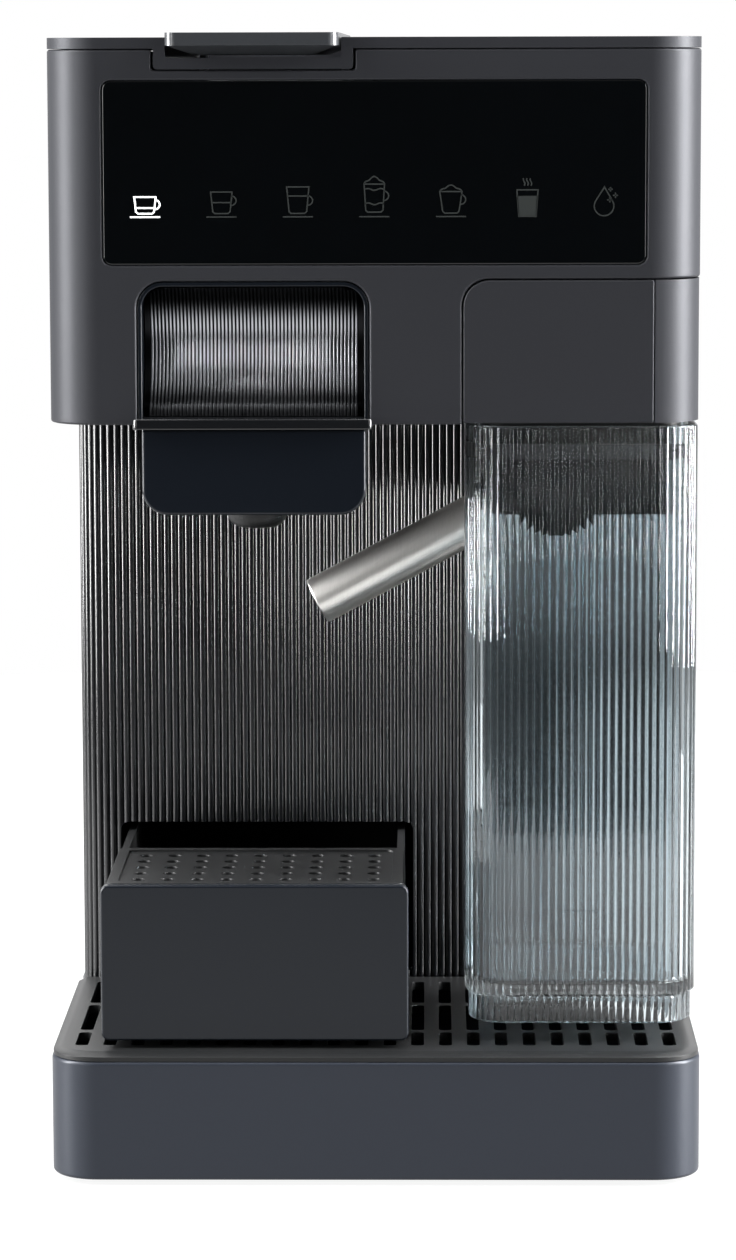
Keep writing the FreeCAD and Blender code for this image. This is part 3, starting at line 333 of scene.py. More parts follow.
def cut(thing: Thing, *others: Thing) -> Thing:
    """Cut the others out of the object."""
    return combine(thing, "DIFFERENCE", others)


def join(thing: Thing, *others: Thing) -> Thing:
    """Join the others to the object."""
    return combine(thing, "UNION", others)


def soften(thing: Thing, width: float, segments: int = 3, angle: float = 32.0) -> Thing:
    """Round the object's edges and smooth what is left.

    Args:
        thing: the object.
        width: the rounding's size.
        segments: how many faces the rounding has.
        angle: the least angle between faces, in degrees, that counts as an edge.

    Returns:
        the object.
    """
    if width > 0:
        bevel = thing.modifiers.new("edges", "BEVEL")
        bevel.width = width
        bevel.segments = segments
        bevel.limit_method = "ANGLE"
        bevel.angle_limit = math.radians(angle)
        bevel.miter_outer = "MITER_ARC"
        settle(thing)
    thing.data.shade_smooth()
    thing.data.set_sharp_from_angle(angle=math.radians(angle))
    normals = thing.modifiers.new("normals", "WEIGHTED_NORMAL")
    normals.keep_sharp = True
    normals.weight = 80
    return settle(thing)


# ---- finishes
def linear(colour: str) -> tuple[float, float, float, float]:
    """Turn an sRGB colour into the linear values that a shader takes.

    Args:
        colour: hex, such as "#38393d".

    Returns:
        red, green, blue and alpha.
    """
    parts = [int(colour[i:i + 2], 16) / 255 for i in (1, 3, 5)]
    red, green, blue = (p / 12.92 if p <= 0.04045 else ((p + 0.055) / 1.055) ** 2.4 for p in parts)
    return red, green, blue, 1.0


def add_node(tree: Tree, kind: str, settings: dict[str, Any] | None = None,
             links: dict[str, Any] | None = None) -> bpy.types.Node:
    """Add a shader node.

    Args:
        tree: the node tree.
        kind: the node's type name, without its ShaderNode prefix.
        settings: values by the node's own property or input name.
        links: output sockets by input name; an input given as "#2" is found by its number.

    Returns:
        the new node.
    """
    made = tree.nodes.new("ShaderNode" + kind)
    for name, value in (settings or {}).items():
        if name.startswith("#"):
            made.inputs[int(name[1:])].default_value = value
        elif hasattr(made, name):
            setattr(made, name, value)
        else:
            made.inputs[name].default_value = value
    for name, output in (links or {}).items():
        tree.links.new(output, made.inputs[int(name[1:])] if name.startswith("#") else made.inputs[name])
    return made


def noise(tree: Tree, size: float, detail: float, place: Socket) -> Socket:
    """A noise whose grain has a real size, in metres."""
    return add_node(tree, "TexNoise", {"Scale": 1 / size, "Detail": detail}, {"Vector": place}).outputs["Fac"]


def reckon(tree: Tree, operation: str, *values: Socket) -> Socket:
    """Reckon with one or two shader values."""
    links = {f"#{index}": value for index, value in enumerate(values)}
    return add_node(tree, "Math", {"operation": operation}, links).outputs["Value"]


def ramp(tree: Tree, value: Socket, source: Span, target: Span,
         shape: str = "LINEAR") -> Socket:
    """Map a shader value from one span onto another and hold it at the ends.

    Args:
        tree: the node tree.
        value: the value.
        source: the span that it comes from.
        target: the span that it goes to.
        shape: LINEAR, or SMOOTHSTEP for soft ends.

    Returns:
        the mapped value.
    """
    settings = {"interpolation_type": shape, "From Min": source[0], "From Max": source[1],
                "To Min": target[0], "To Max": target[1]}
    return add_node(tree, "MapRange", settings, {"Value": value}).outputs["Result"]


@dataclass(frozen=True)
class Finish:
    """A surface: what it is made of and how, and what the eye gets from that. Grain sizes are in millimetres."""

    name: str
    colour: str
    roughness: float
    metallic: float = 0.0
    ior: float = 1.5
    coat: float = 0.0
    coat_roughness: float = 0.05
    mottle: float = 0.06
    mottle_size: float = 0.5
    bump: float = 0.0
    bump_size: float = 0.5
    bump_height: float = 0.02
    stretch: tuple[float, float, float] = (1, 1, 1)
    rough_spread: float = 0.05
    extra: dict[str, Any] = field(default_factory=dict)

    def material(self) -> bpy.types.Material:
        """The finish's material, made once."""
        known = bpy.data.materials.get(self.name)
        return known or self.make()

    def make(self) -> bpy.types.Material:
        """Build the material: mottled colour, uneven gloss and a fine relief.

        Returns:
            the new material.
        """
        made = bpy.data.materials.new(self.name)
        made.use_nodes = True
        tree = made.node_tree
        tree.nodes.clear()
        place = add_node(tree, "TexCoord").outputs["Object"]
        spread = add_node(tree, "Mapping", {"Scale": self.stretch}, {"Vector": place}).outputs["Vector"]
        tone = linear(self.colour)[:3]
        darker, lighter = (tuple(c * (1 + side * self.mottle) for c in tone) + (1.0,) for side in (-1, 1))
        colour = add_node(tree, "Mix", {"data_type": "RGBA", "#6": darker, "#7": lighter},
                          {"#0": noise(tree, self.mottle_size * MM, 3.0, spread)})
        half = self.rough_spread / 2
        gloss = ramp(tree, noise(tree, GLOSS_PATCH, 2.0, place), (0.0, 1.0),
                     (max(0.0, self.roughness - half), self.roughness + half))
        shader = add_node(tree, "BsdfPrincipled", {"Metallic": self.metallic, "Coat Weight": self.coat,
                                                   "Coat Roughness": self.coat_roughness},
                          {"Base Color": colour.outputs[2], "Roughness": gloss})
        if self.metallic < 0.5:
            shader.inputs["IOR"].default_value = self.ior
        for name, value in self.extra.items():
            shader.inputs[name].default_value = value
        if self.bump > 0:
            relief = add_node(tree, "Bump", {"Strength": self.bump, "Distance": self.bump_height * MM},
                              {"Height": noise(tree, self.bump_size * MM, 2.0, spread)})
            tree.links.new(relief.outputs["Normal"], shader.inputs["Normal"])
        add_node(tree, "OutputMaterial", None, {"Surface": shader.outputs["BSDF"]})
        return made


# Sprayed ABS with a fine aluminium flake: dark neutral grey, a soft sheen, faint orange peel.
GRAPHITE = Finish("sprayed_abs_graphite", "#25262a", 0.47, metallic=0.35, ior=1.36, mottle=0.10,
                  mottle_size=0.45, bump=0.4)
# The same paint with a blue cast on the tray and chassis, a little glossier.
SLATE = Finish("sprayed_abs_slate", "#20242c", 0.42, metallic=0.30, ior=1.36, mottle=0.10,
               mottle_size=0.45, coat=0.10, coat_roughness=0.12, bump=0.4)
# Sprayed blue-black ABS on the drawer's front, the nose and the arch's liner: smooth, softly glossy.
MIDNIGHT = Finish("sprayed_abs_midnight", "#0c1016", 0.34, metallic=0.15, ior=1.22, mottle=0.08,
                  mottle_size=0.45, coat=0.35, coat_roughness=0.08, bump=0.15, bump_size=0.6,
                  bump_height=0.01)
# Spark-eroded black ABS: an even fine grain with a low sheen.
MOULDED = Finish("moulded_abs_black", "#0e0f10", 0.45, ior=1.38, mottle=0.10, mottle_size=0.6, bump=0.5,
                 bump_size=0.45, bump_height=0.03)
# Polished moulded black ABS: sharp highlights on each rib and along the finger bar.
POLISHED = Finish("polished_abs_black", "#0d0e10", 0.17, ior=1.6, mottle=0.05, mottle_size=1.5)
# Chrome plating of the scoop's fine ribs, bright on the crests; painted shade turns the valleys black and darkens
# it towards the scoop's foot and top.
CHROME_PAINTED_SHADE = Finish("plated_chrome_painted_shade", "#cdd0d6", 0.32, metallic=1.0, mottle=0.04, mottle_size=0.8)
# The lever's slab: dark grey with a pressed leather-like grain under a thin gloss.
GRAINED = Finish("grained_abs_gloss", "#292b2e", 0.34, mottle=0.16, mottle_size=0.6, coat=0.3, bump=0.9,
                 bump_size=0.7, bump_height=0.07)
# Back-printed float glass: near black, mirror smooth.
GLASS_BLACK = Finish("printed_float_glass", "#030405", 0.03, mottle=0.15, mottle_size=6, coat=0.2,
                     coat_roughness=0.01, rough_spread=0.01)
# Printed light diffuser under the symbols, unlit: a dim grey-green.
SYMBOL_DIM = Finish("symbol_print_unlit", "#121716", 0.5, mottle=0.12, mottle_size=0.4)
# The chosen symbol, lit white from behind.
SYMBOL_LIT = Finish("symbol_print_lit", "#f4f6f6", 0.4, mottle=0.02, mottle_size=0.4,
                    extra={"Emission Color": linear("#f9fdff"), "Emission Strength": 0.9})
# Stainless tube brushed round: fine rings that stretch the highlight along it.
BRUSHED = Finish("brushed_stainless_steel", "#e6e4e0", 0.36, metallic=1.0, mottle=0.10, mottle_size=0.25,
                 bump=0.35, bump_size=0.22, bump_height=0.008, stretch=(1, 0.08, 0.08),
                 rough_spread=0.08, extra={"Anisotropic": 0.35})
# Zinc-plated pressed steel of the hidden frame and pins.
PLATED = Finish("zinc_plated_steel", "#9a9da0", 0.36, metallic=1.0, mottle=0.14, mottle_size=3)
# Die-cast aluminium heater and fittings: pale, slightly grainy.
CAST = Finish("cast_aluminium", "#a3a5a8", 0.48, metallic=1.0, mottle=0.10, mottle_size=1.2, bump=0.5,
              bump_size=0.8, bump_height=0.05)
# Injection-moulded clear copolyester: water-clear with faint flow unevenness.
CLEAR = Finish("moulded_copolyester_clear", "#d6dfe3", 0.01, ior=1.49, mottle=0.01, mottle_size=20,
               rough_spread=0.01, extra={"Transmission Weight": 1.0})
# The same plastic tinted smoke grey for the water tank.
SMOKE = Finish("moulded_copolyester_smoke", "#8d969c", 0.05, ior=1.49, mottle=0.03, mottle_size=20,
               rough_spread=0.03, extra={"Transmission Weight": 1.0})
# Translucent silicone of hoses and seals: soft grey, matt.
SILICONE = Finish("moulded_silicone", "#a9acad", 0.55, mottle=0.05, mottle_size=2,
                  extra={"Subsurface Weight": 0.15, "Subsurface Scale": 0.002})
# Dark rubber of the feet.
RUBBER = Finish("moulded_rubber_black", "#1a1b1d", 0.7, mottle=0.12, mottle_size=1, bump=0.5,
                bump_size=0.6, bump_height=0.05)
# Solder-masked glass-fibre board.
BOARD = Finish("solder_masked_board", "#14502c", 0.35, mottle=0.18, mottle_size=2.5)
# Diffusing white polycarbonate light boxes.
DIFFUSER = Finish("moulded_polycarbonate_white", "#e6e6e2", 0.45, mottle=0.02, mottle_size=3)
# Glass-filled nylon of the brew cage: grey with a fibrous bloom.
NYLON = Finish("glass_filled_nylon", "#4a4c4e", 0.5, mottle=0.15, mottle_size=0.8, bump=0.4,
               bump_height=0.03)

SLOT_FINISHES: dict[str, Finish] = {
    "casing_graphite": GRAPHITE, "base_slate": SLATE, "black_moulding": MOULDED, "gloss_black": POLISHED,
    "touch_glass": GLASS_BLACK, "light_guide": DIFFUSER, "circuit_board": BOARD, "plated_steel": PLATED,
    "steel_tube": BRUSHED, "cast_aluminium": CAST, "pump_body": NYLON, "clear_plastic": CLEAR,
    "silicone": SILICONE, "cage_plastic": NYLON,
}


def dress(thing: Thing, finish: Finish) -> Thing:
    """Give the object one finish all over."""
    thing.data.materials.clear()
    thing.data.materials.append(finish.material())
    return thing


def place(thing: Thing, finish: Finish, body: str, slot: str, *nodes: str) -> Thing:
    """Dress a finished piece and tie it to the frame.

    Args:
        thing: the piece, in place.
        finish: its surface.
        body: the frame body that it moves with.
        slot: the record's material slot; not used.
        nodes: the frame nodes that it stands for.

    Returns:
        the piece.
    """
    dress(thing, finish)
    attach(thing, body)
    if nodes:
        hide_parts(*nodes)
    LOG.info("piece %s on %s: %d faces", thing.name, body, len(thing.data.polygons))
    return thing


# ---- sub-assemblies
@dataclass
class Head:
    """The head: wrap, lid with the lever's trough, and the arch round the brew front."""

    wall: float = 2.5 * MM
    corner: float = 14 * MM
    edge: float = 0.7 * MM
    arch_corner: float = 7 * MM

    def build(self) -> None:
        """Make every piece of the head."""
        self.make_shell()
        self.make_lid()
        self.make_arch_trim()

    def make_shell(self) -> None:
        """Wrap with its window, arch, milk bay and the notch for the lid's trough."""
        x, y, z = extent("head_shell")
        glass_x, _, glass_z = extent("display_glass")
        trim_x, _, trim_z = extent("arch_trim")
        dock_x, dock_y, dock_z = extent("milk_dock")
        lid_z = extent("top_lid")[2]
        handle_x = extent("lever_handle")[0]
        front = grown((y[0], y[0] + self.wall), 2 * MM)
        shell = block("head_wrap", x, y, z, self.corner)
        cutters = [
            block("room", grown(x, -self.wall), grown(y, -self.wall), grown(z, 5 * MM),
                  self.corner - self.wall),
            panel("window", grown(glass_x, 0.2 * MM), grown(glass_z, 0.06 * MM), 2.5 * MM, front),
            panel("arch", grown(trim_x, 0.2 * MM), (z[0] - 20 * MM, trim_z[1] + 0.2 * MM), self.arch_corner,
                  front),
            panel("bay", (dock_x[0] + 2 * MM, x[1] + 5 * MM), (z[0] - 5 * MM, dock_z[1] - 2 * MM),
                  (0, 0, 0, 7 * MM), (y[0] - 2 * MM, dock_y[1] - 2 * MM)),
            panel("notch", grown(handle_x, 4.2 * MM), (lid_z[0] - 0.25 * MM, z[1] + 5 * MM), 0.8 * MM, front),
        ]
        cut(shell, *cutters)
        place(soften(shell, self.edge), GRAPHITE, "root", "casing_graphite", "head_shell")

    def make_lid(self) -> None:
        """Thin lid whose front edge drops in a U under the lever."""
        x, y, z = extent("top_lid")
        seam = extent("head_shell")[2][1] + 0.15 * MM
        handle_x, handle_y, _ = extent("lever_handle")
        channel = grown(handle_x, 0.55 * MM)
        floor = z[0] + 3 * MM
        lid = block("lid", x, y, (seam, z[1]), self.corner)
        rear = handle_y[1] + 13 * MM
        trough = panel("trough", grown(channel, 3.1 * MM), (z[0], seam + 1 * MM), (1 * MM, 1 * MM, 0, 0),
                       (y[0], rear + 3 * MM))
        join(lid, trough)
        room = panel("channel", channel, (floor, z[1] + 5 * MM), (0.8 * MM, 0.8 * MM, 0, 0),
                     (y[0] - 5 * MM, rear))
        chute_x, chute_y, _ = extent("capsule_chute")
        slot = block("slot", grown(chute_x, -1.5 * MM), from_low(chute_y, 1.5, 35.5),
                     (z[0] - 1 * MM, floor + 1 * MM), 2 * MM)
        swing = block("swing", grown(channel, -0.2 * MM), (handle_y[1] - 22 * MM, rear),
                      (z[0] - 1 * MM, floor + 1 * MM))
        cut(lid, room, slot, swing)
        place(soften(lid, 0.45 * MM), GRAPHITE, "root", "casing_graphite", "top_lid")

    def make_arch_trim(self) -> None:
        """Thin satin liner round the arch."""
        x, y, z = extent("arch_trim")
        trim = panel("arch_liner", x, ends(z, -20, 0), self.arch_corner - 0.2 * MM, y)
        room = panel("room", grown(x, -1.2 * MM), ends(z, -25, -1.2), self.arch_corner - 1.4 * MM,
                     grown(y, 2 * MM))
        below = block("below", grown(x, 2 * MM), grown(y, 2 * MM), from_low(z, -30, 0))
        cut(trim, room, below)
        place(soften(trim, 0.35 * MM), MIDNIGHT, "root", "black_moulding", "arch_trim")


class Symbol(Enum):
    """What the touch symbols stand for, from left to right."""

    ESPRESSO = 0
    LUNGO = 1
    COFFEE = 2
    LATTE = 3
    CAPPUCCINO = 4
    HOT_WATER = 5
    RINSE = 6


@dataclass
class Display:
    """The touch glass and its seven drawn symbols."""

    line: float = 0.42 * MM
    proud: float = 0.03 * MM
    pitch: float = 20.3 * MM
    base_height: float = 260.2 * MM

    def build(self) -> None:
        """Make the glass and the symbols."""
        x, y, z = extent("display_glass")
        glass = panel("touch_glass", x, z, 2.3 * MM, y)
        place(soften(glass, 0.5 * MM, 2), GLASS_BLACK, "root", "touch_glass", "display_glass")
        for symbol in Symbol:
            centre = middle(x) + (symbol.value - 3) * self.pitch
            self.make_symbol(symbol, centre, y[0] - self.proud)

    def make_symbol(self, symbol: Symbol, centre: float, y: float) -> None:
        """Draw one symbol as thin flat strokes.

        Args:
            symbol: which one.
            centre: its middle X.
            y: the depth of its face.
        """
        strokes, fills = self.drawing(symbol)
        points: list[Vector] = []
        faces: list[list[int]] = []
        width = self.line * (1.0 if symbol is Symbol.ESPRESSO else 0.85)
        for stroke, closed in strokes:
            self.add_ribbon(points, faces, stroke, closed, width)
        for fill in fills:
            start = len(points)
            points.extend(Vector((u, 0, v)) for u, v in fill)
            faces.append(list(range(start, len(points))))
        placed = [Vector((centre + p.x * MM, y, self.base_height + p.z * MM)) for p in points]
        mesh = bpy.data.meshes.new("symbol")
        mesh.from_pydata([tuple(p) for p in placed], [], faces)
        mark = as_object("symbol_" + symbol.name.lower(), mesh)
        thick = mark.modifiers.new("thick", "SOLIDIFY")
        thick.thickness = self.proud * 1.5
        thick.offset = 0
        settle(mark)
        lit = symbol is Symbol.ESPRESSO
        place(mark, SYMBOL_LIT if lit else SYMBOL_DIM, "root", "light_guide")

    def add_ribbon(self, points: list[Vector], faces: list[list[int]], stroke: Sequence[Point], closed: bool,
                   width: float) -> None:
        """Widen a line into a flat ribbon with mitred corners, in millimetres."""
        half = width / MM / 2
        line = [Vector((u, 0, v)) for u, v in stroke]
        count = len(line)
        start = len(points)
        for i, here in enumerate(line):
            before = line[i - 1] if i or closed else here
            after = line[(i + 1) % count] if i < count - 1 or closed else here
            into = (here - before).normalized() if (here - before).length else (after - here).normalized()
            out = (after - here).normalized() if (after - here).length else into
            normal = Vector((-(into + out).z, 0, (into + out).x)).normalized()
            reach = half / max(0.5, normal.dot(Vector((-out.z, 0, out.x))))
            points.append(here + normal * reach)
            points.append(here - normal * reach)
        for i in range(count if closed else count - 1):
            a, b = start + 2 * i, start + 2 * ((i + 1) % count)
            faces.append([a, a + 1, b + 1, b])

    def drawing(self, symbol: Symbol) -> tuple[list[tuple[list[Point], bool]], list[list[Point]]]:
        """Give a symbol's strokes and fills in millimetres, from the middle of its foot.

        Args:
            symbol: which one.

        Returns:
            strokes, each with whether it is closed, and filled outlines.
        """
        saucer = ([(-4.0, 0.2), (4.0, 0.2)], False)
        filled = {Symbol.ESPRESSO: ((5.7, 4.7, 1.1, 5.5, 3.5), 2.4, 2.6),
                  Symbol.LUNGO: ((5.7, 4.5, 1.1, 6.8, 4.5), 2.5, 4.0),
                  Symbol.COFFEE: ((5.9, 4.6, 1.1, 8.1, 4.5), 2.7, 5.7)}
        if symbol in filled:
            sizes, half, level = filled[symbol]
            return self.cup(*sizes) + [saucer, ([(-half, level), (half, level)], False)], []
        if symbol is Symbol.LATTE:
            foam = self.foam(2.7, 8.9, 1.9)
            waves = [[(-2.5 + 5.0 * i / 12, high + 0.25 * math.sin(math.pi * i / 4)) for i in range(13)]
                     for high in (3.6, 7.4)]
            lines = [(line, False) for line in [foam] + waves]
            return self.cup(5.4, 4.5, 1.4, 8.8, 5.7) + [saucer] + lines, []
        if symbol is Symbol.CAPPUCCINO:
            return self.cup(5.9, 4.2, 1.1, 6.8, 4.7) + [saucer, (self.foam(2.9, 6.9, 1.6), False)], []
        if symbol is Symbol.HOT_WATER:
            rim = [(-2.8, 7.2), (-2.3, 0.2), (2.3, 0.2), (2.8, 7.2)]
            steam = [[(shift + 0.22 * math.sin(2 * math.pi * i / 8), 8.3 + 0.28 * i) for i in range(8)]
                     for shift in (-0.9, 0.0, 0.9)]
            fill = [(-2.7, 5.6), (-2.3, 0.3), (2.3, 0.3), (2.7, 5.6)]
            return [(rim, True)] + [(puff, False) for puff in steam], [fill]
        turns = [math.radians(-215 + 250 * i / 20) for i in range(21)]
        drop = [(2.6 * math.cos(a), 2.9 + 2.6 * math.sin(a)) for a in turns] + [(0.1, 7.9)]
        stars: list[tuple[list[Point], bool]] = []
        for u, v, size in ((1.7, 7.3, 0.6), (3.0, 5.7, 0.7), (1.5, 4.5, 0.7)):
            stars += [([(u - size, v), (u + size, v)], False), ([(u, v - size), (u, v + size)], False)]
        return [(drop, True)] + stars, []

    def foam(self, half: float, low: float, rise: float) -> list[Point]:
        """Outline of a foam cap: a low bump at each side and a taller one in the middle."""
        points = []
        for i in range(25):
            across = -1 + i / 12
            lump = 0.55 * math.sqrt(max(0.0, 1 - across * across)) + 0.45 * max(0.0, 1 - (2.1 * across) ** 2)
            points.append((half * across, low + rise * lump))
        return points

    def cup(self, rim: float, foot: float, low: float, high: float,
            handle: float) -> list[tuple[list[Point], bool]]:
        """Strokes of a tapered cup with a round handle.

        Args:
            rim: its width at the top.
            foot: its width at the bottom.
            low: height of its bottom.
            high: height of its rim.
            handle: height of the handle's middle.

        Returns:
            the outline and the handle.
        """
        def half(v: float) -> float:
            """Half the cup's width at a height."""
            return (foot + (rim - foot) * (v - low) / (high - low)) / 2

        outline = [(-foot / 2 + 0.5, low), (foot / 2 - 0.5, low), (half(low + 0.5), low + 0.5),
                   (rim / 2, high), (-rim / 2, high), (-half(low + 0.5), low + 0.5)]
        loop = [(half(handle) + 1.3 * math.sin(a), handle + 1.25 * math.cos(a))
                for a in (math.pi * i / 10 for i in range(11))]
        return [(outline, True), (loop, False)]


@dataclass
class BrewFront:
    """The pull-out coffee outlet: ribbed scoop, finger ledge, nose and nozzle."""

    rib_pitch: float = 1.0 * MM
    rib_depth: float = 0.34 * MM
    rows: int = 40
    corner: float = 5.3 * MM
    scoop_radius: float = 18.7 * MM
    scoop_height: float = 226 * MM
    scoop_lead: float = 9.7 * MM
    scoop_margin: float = 1.4 * MM
    # How much of the plating still shows in the painted shade of the rib valleys and the scoop's ends.
    painted_shade_level: float = 0.03
    nose_corner: float = 7 * MM
    nose_wall: float = 2.2 * MM
    bore: float = 2.3 * MM

    def build(self) -> None:
        """Make every piece of the outlet unit."""
        self.make_scoop()
        self.make_ledge()
        self.make_nose()
        self.make_nozzle()

    def make_scoop(self) -> None:
        """Concave panel of fine upright ribs, closed at its back."""
        x, y, z = extent("scoop_panel")
        lined = grown(x, -self.scoop_margin)
        ribs = ribbed([(lined[0], 0.0), (lined[1], 0.0)], self.rib_pitch, self.rib_depth, closed=False)
        levels: list[tuple[list[Point], float]] = []
        for row in range(self.rows + 1):
            high = z[0] + (z[1] - z[0]) * row / self.rows
            hollow = math.sqrt(max(0.0, self.scoop_radius ** 2 - (high - self.scoop_height) ** 2))
            face = max(y[0] + self.rib_depth, y[0] - self.scoop_lead + hollow)
            inset = self.corner_inset(z[1] - high)
            side = grown(x, -inset)
            line = [(min(max(u, side[0]), side[1]), face + proud) for u, proud in ribs]
            line += [(side[1], face), (side[1], y[1]), (side[0], y[1]), (side[0], face)]
            levels.append((line, high))
        scoop = stacked("ribbed_scoop", levels)
        place(soften(scoop, 0, angle=50), CHROME_PAINTED_SHADE, "outlet_unit", "gloss_black", "scoop_panel")
        # Painted shade: black rib valleys and a darker foot and top on the scoop's plating.
        self.paint_valley_shade(CHROME_PAINTED_SHADE.material().node_tree, lined, z)

    def paint_valley_shade(self, tree: Tree, across: Span, height: Span) -> None:
        """Paint shade into the plating: it stays bright on the ribs' crests only, goes black in the valleys, and
        darkens towards the foot and the top.

        Args:
            tree: the plating's node tree.
            across: X of the first rib's start and the last rib's end.
            height: Z of the scoop's foot and top.
        """
        shader = next(n for n in tree.nodes if n.bl_idname == "ShaderNodeBsdfPrincipled")
        plating = shader.inputs["Base Color"].links[0].from_socket
        where = add_node(tree, "SeparateXYZ", None, {"Vector": add_node(tree, "TexCoord").outputs["Object"]})
        # Painted shade in the rib valleys: the plating shows in full on the crests only.
        ribs = round((across[1] - across[0]) / self.rib_pitch)
        wave = reckon(tree, "COSINE", ramp(tree, where.outputs["X"], across, (0.0, 2 * math.pi * ribs)))
        painted_shade_span = (self.painted_shade_level, 1.0)
        unshaded_share = ramp(tree, wave, (0.4, -0.6), painted_shade_span)
        # Painted shade that darkens the scoop towards its foot and its top.
        for shaded_band in (from_low(height, 0.5, 14), (height[1] - 3 * MM, height[1] - 13 * MM)):
            painted_end_shade = ramp(tree, where.outputs["Z"], shaded_band, painted_shade_span, "SMOOTHSTEP")
            unshaded_share = reckon(tree, "MULTIPLY", unshaded_share, painted_end_shade)
        painted_shade_mix = add_node(tree, "Mix", {"data_type": "RGBA", "#6": linear("#020203")},
                         {"#0": unshaded_share, "#7": plating})
        tree.links.new(painted_shade_mix.outputs[2], shader.inputs["Base Color"])

    def corner_inset(self, below_top: float) -> float:
        """How far the arch's round corner comes in at that distance below its top."""
        if below_top >= self.corner:
            return 0.0
        rise = self.corner - below_top
        return self.corner - math.sqrt(max(0.0, self.corner ** 2 - rise ** 2))

    def make_ledge(self) -> None:
        """Slim bar with rounded ends, and the tongue that holds it."""
        x, y, z = extent("finger_ledge")
        bar = block("finger_bar", x, from_low(y, 0, 6.1), z, 1.4 * MM)
        tongue = block("tongue", grown(x, -3 * MM), ends(y, 5, 0), z)
        join(bar, tongue)
        place(soften(bar, 0.75 * MM, 4), POLISHED, "outlet_unit", "casing_graphite", "finger_ledge")

    def make_nose(self) -> None:
        """Block under the ledge with rounded lower corners, open above."""
        x, y, z = extent("nose_cover")
        nose = panel("nose", x, z, (self.nose_corner,) * 2 + (0, 0), y)
        wall = self.nose_wall
        inner = (self.nose_corner - wall,) * 2 + (0, 0)
        room = panel("room", grown(x, -wall), (z[0] + wall, z[1] + 5 * MM), inner, grown(y, -wall))
        dome_x, dome_y, _ = extent("outlet_dome")
        hole = rod("hole", Axis.Z, (middle(dome_x), middle(dome_y)), 6.1 * MM, from_low(z, -1, 5))
        cut(nose, room, hole)
        place(soften(nose, 0.8 * MM, 4), MIDNIGHT, "outlet_unit", "casing_graphite", "nose_cover")

    def make_nozzle(self) -> None:
        """Turned nozzle with a rounded lip."""
        x, y, z = extent("outlet_dome")
        wide = (x[1] - x[0]) / 2
        bore, shoulder, neck = self.bore, 6.2 * MM, 6 * MM
        arc = [(wide - 4.2 * MM * (1 - math.cos(a)), shoulder - 1 * MM - (shoulder - 1.2 * MM) * math.sin(a))
               for a in (math.pi / 2 * i / 8 for i in range(9))]
        profile = [(neck, z[1] - z[0]), (neck, shoulder), (wide, shoulder)] + arc
        profile += [(bore + 0.8 * MM, 0.0), (bore, 0.8 * MM), (bore, z[1] - z[0])]
        nozzle = turned("nozzle", profile, Vector((middle(x), middle(y), z[0])), Vector((0, 0, 1)))
        place(soften(nozzle, 0), MOULDED, "outlet_unit", "gloss_black", "outlet_dome")


@dataclass
class Lever:
    """The flat lever on top."""

    thick: float = 3.4 * MM
    corner: float = 3 * MM
    edge: float = 0.8 * MM
    keel_front: float = 13 * MM
    keel_side: float = 6.5 * MM

    def build(self) -> None:
        """Slab with a keel under it that tapers back from the front and sides."""
        x, y, z = extent("lever_handle")
        under = z[1] - self.thick
        slab = block("lever_slab", x, y, (under, z[1]), self.corner)
        corner = self.corner - 0.4 * MM
        wide = rounded(grown(x, -0.4 * MM), ends(y, 0.5, 0), corner)
        slim = rounded(grown(x, -self.keel_side), (y[0] + self.keel_front, y[1]), corner)
        join(slab, stacked("keel", ((wide, under + 1 * MM), (wide, under), (slim, z[0]))))
        place(soften(slab, self.edge, 4), GRAINED, "lever", "gloss_black", "lever_handle")


@dataclass
class Column:
    """The ribbed column between base and head."""

    rib_pitch: float = 2.03 * MM
    rib_depth: float = 0.85 * MM
    corner: float = 9 * MM
    wall: float = 2.4 * MM

    def build(self) -> None:
        """Skin of upright round ribs round the front and sides, with the drawer's opening."""
        x, y, z = extent("column_casing")
        panel_y = extent("rib_panel")[1]
        front = panel_y[0] + self.rib_depth
        side = grown(x, -self.rib_depth + 0.2 * MM)
        around = rounded(side, (front, y[1] - 1 * MM), (self.corner, self.corner, 0, 0), 12)
        start = around.index(max(around, key=lambda p: (p[1], -p[0])))
        path = around[start:] + around[:start]
        path = path if path[-1][0] > path[0][0] else path[::-1]
        outer = ribbed(path, self.rib_pitch, self.rib_depth, closed=False)
        back = [(side[1], y[1]), (side[0], y[1])]
        skin = prism("column_skin", Axis.Z, outer + back, ends(z, 0.2, -0.2))
        room = block("room", grown(side, -self.wall), (front + self.wall, y[1] - self.wall), grown(z, 5 * MM),
                     self.corner - self.wall)
        drawer_x, _, drawer_z = extent("drawer_front")
        opening = panel("opening", grown(drawer_x, 0.9 * MM), grown(drawer_z, 0.9 * MM), 2.5 * MM,
                        (front - 5 * MM, front + 9 * MM))
        cut(skin, room, opening)
        place(soften(skin, 0, angle=50), POLISHED, "root", "gloss_black", "column_casing", "rib_panel")


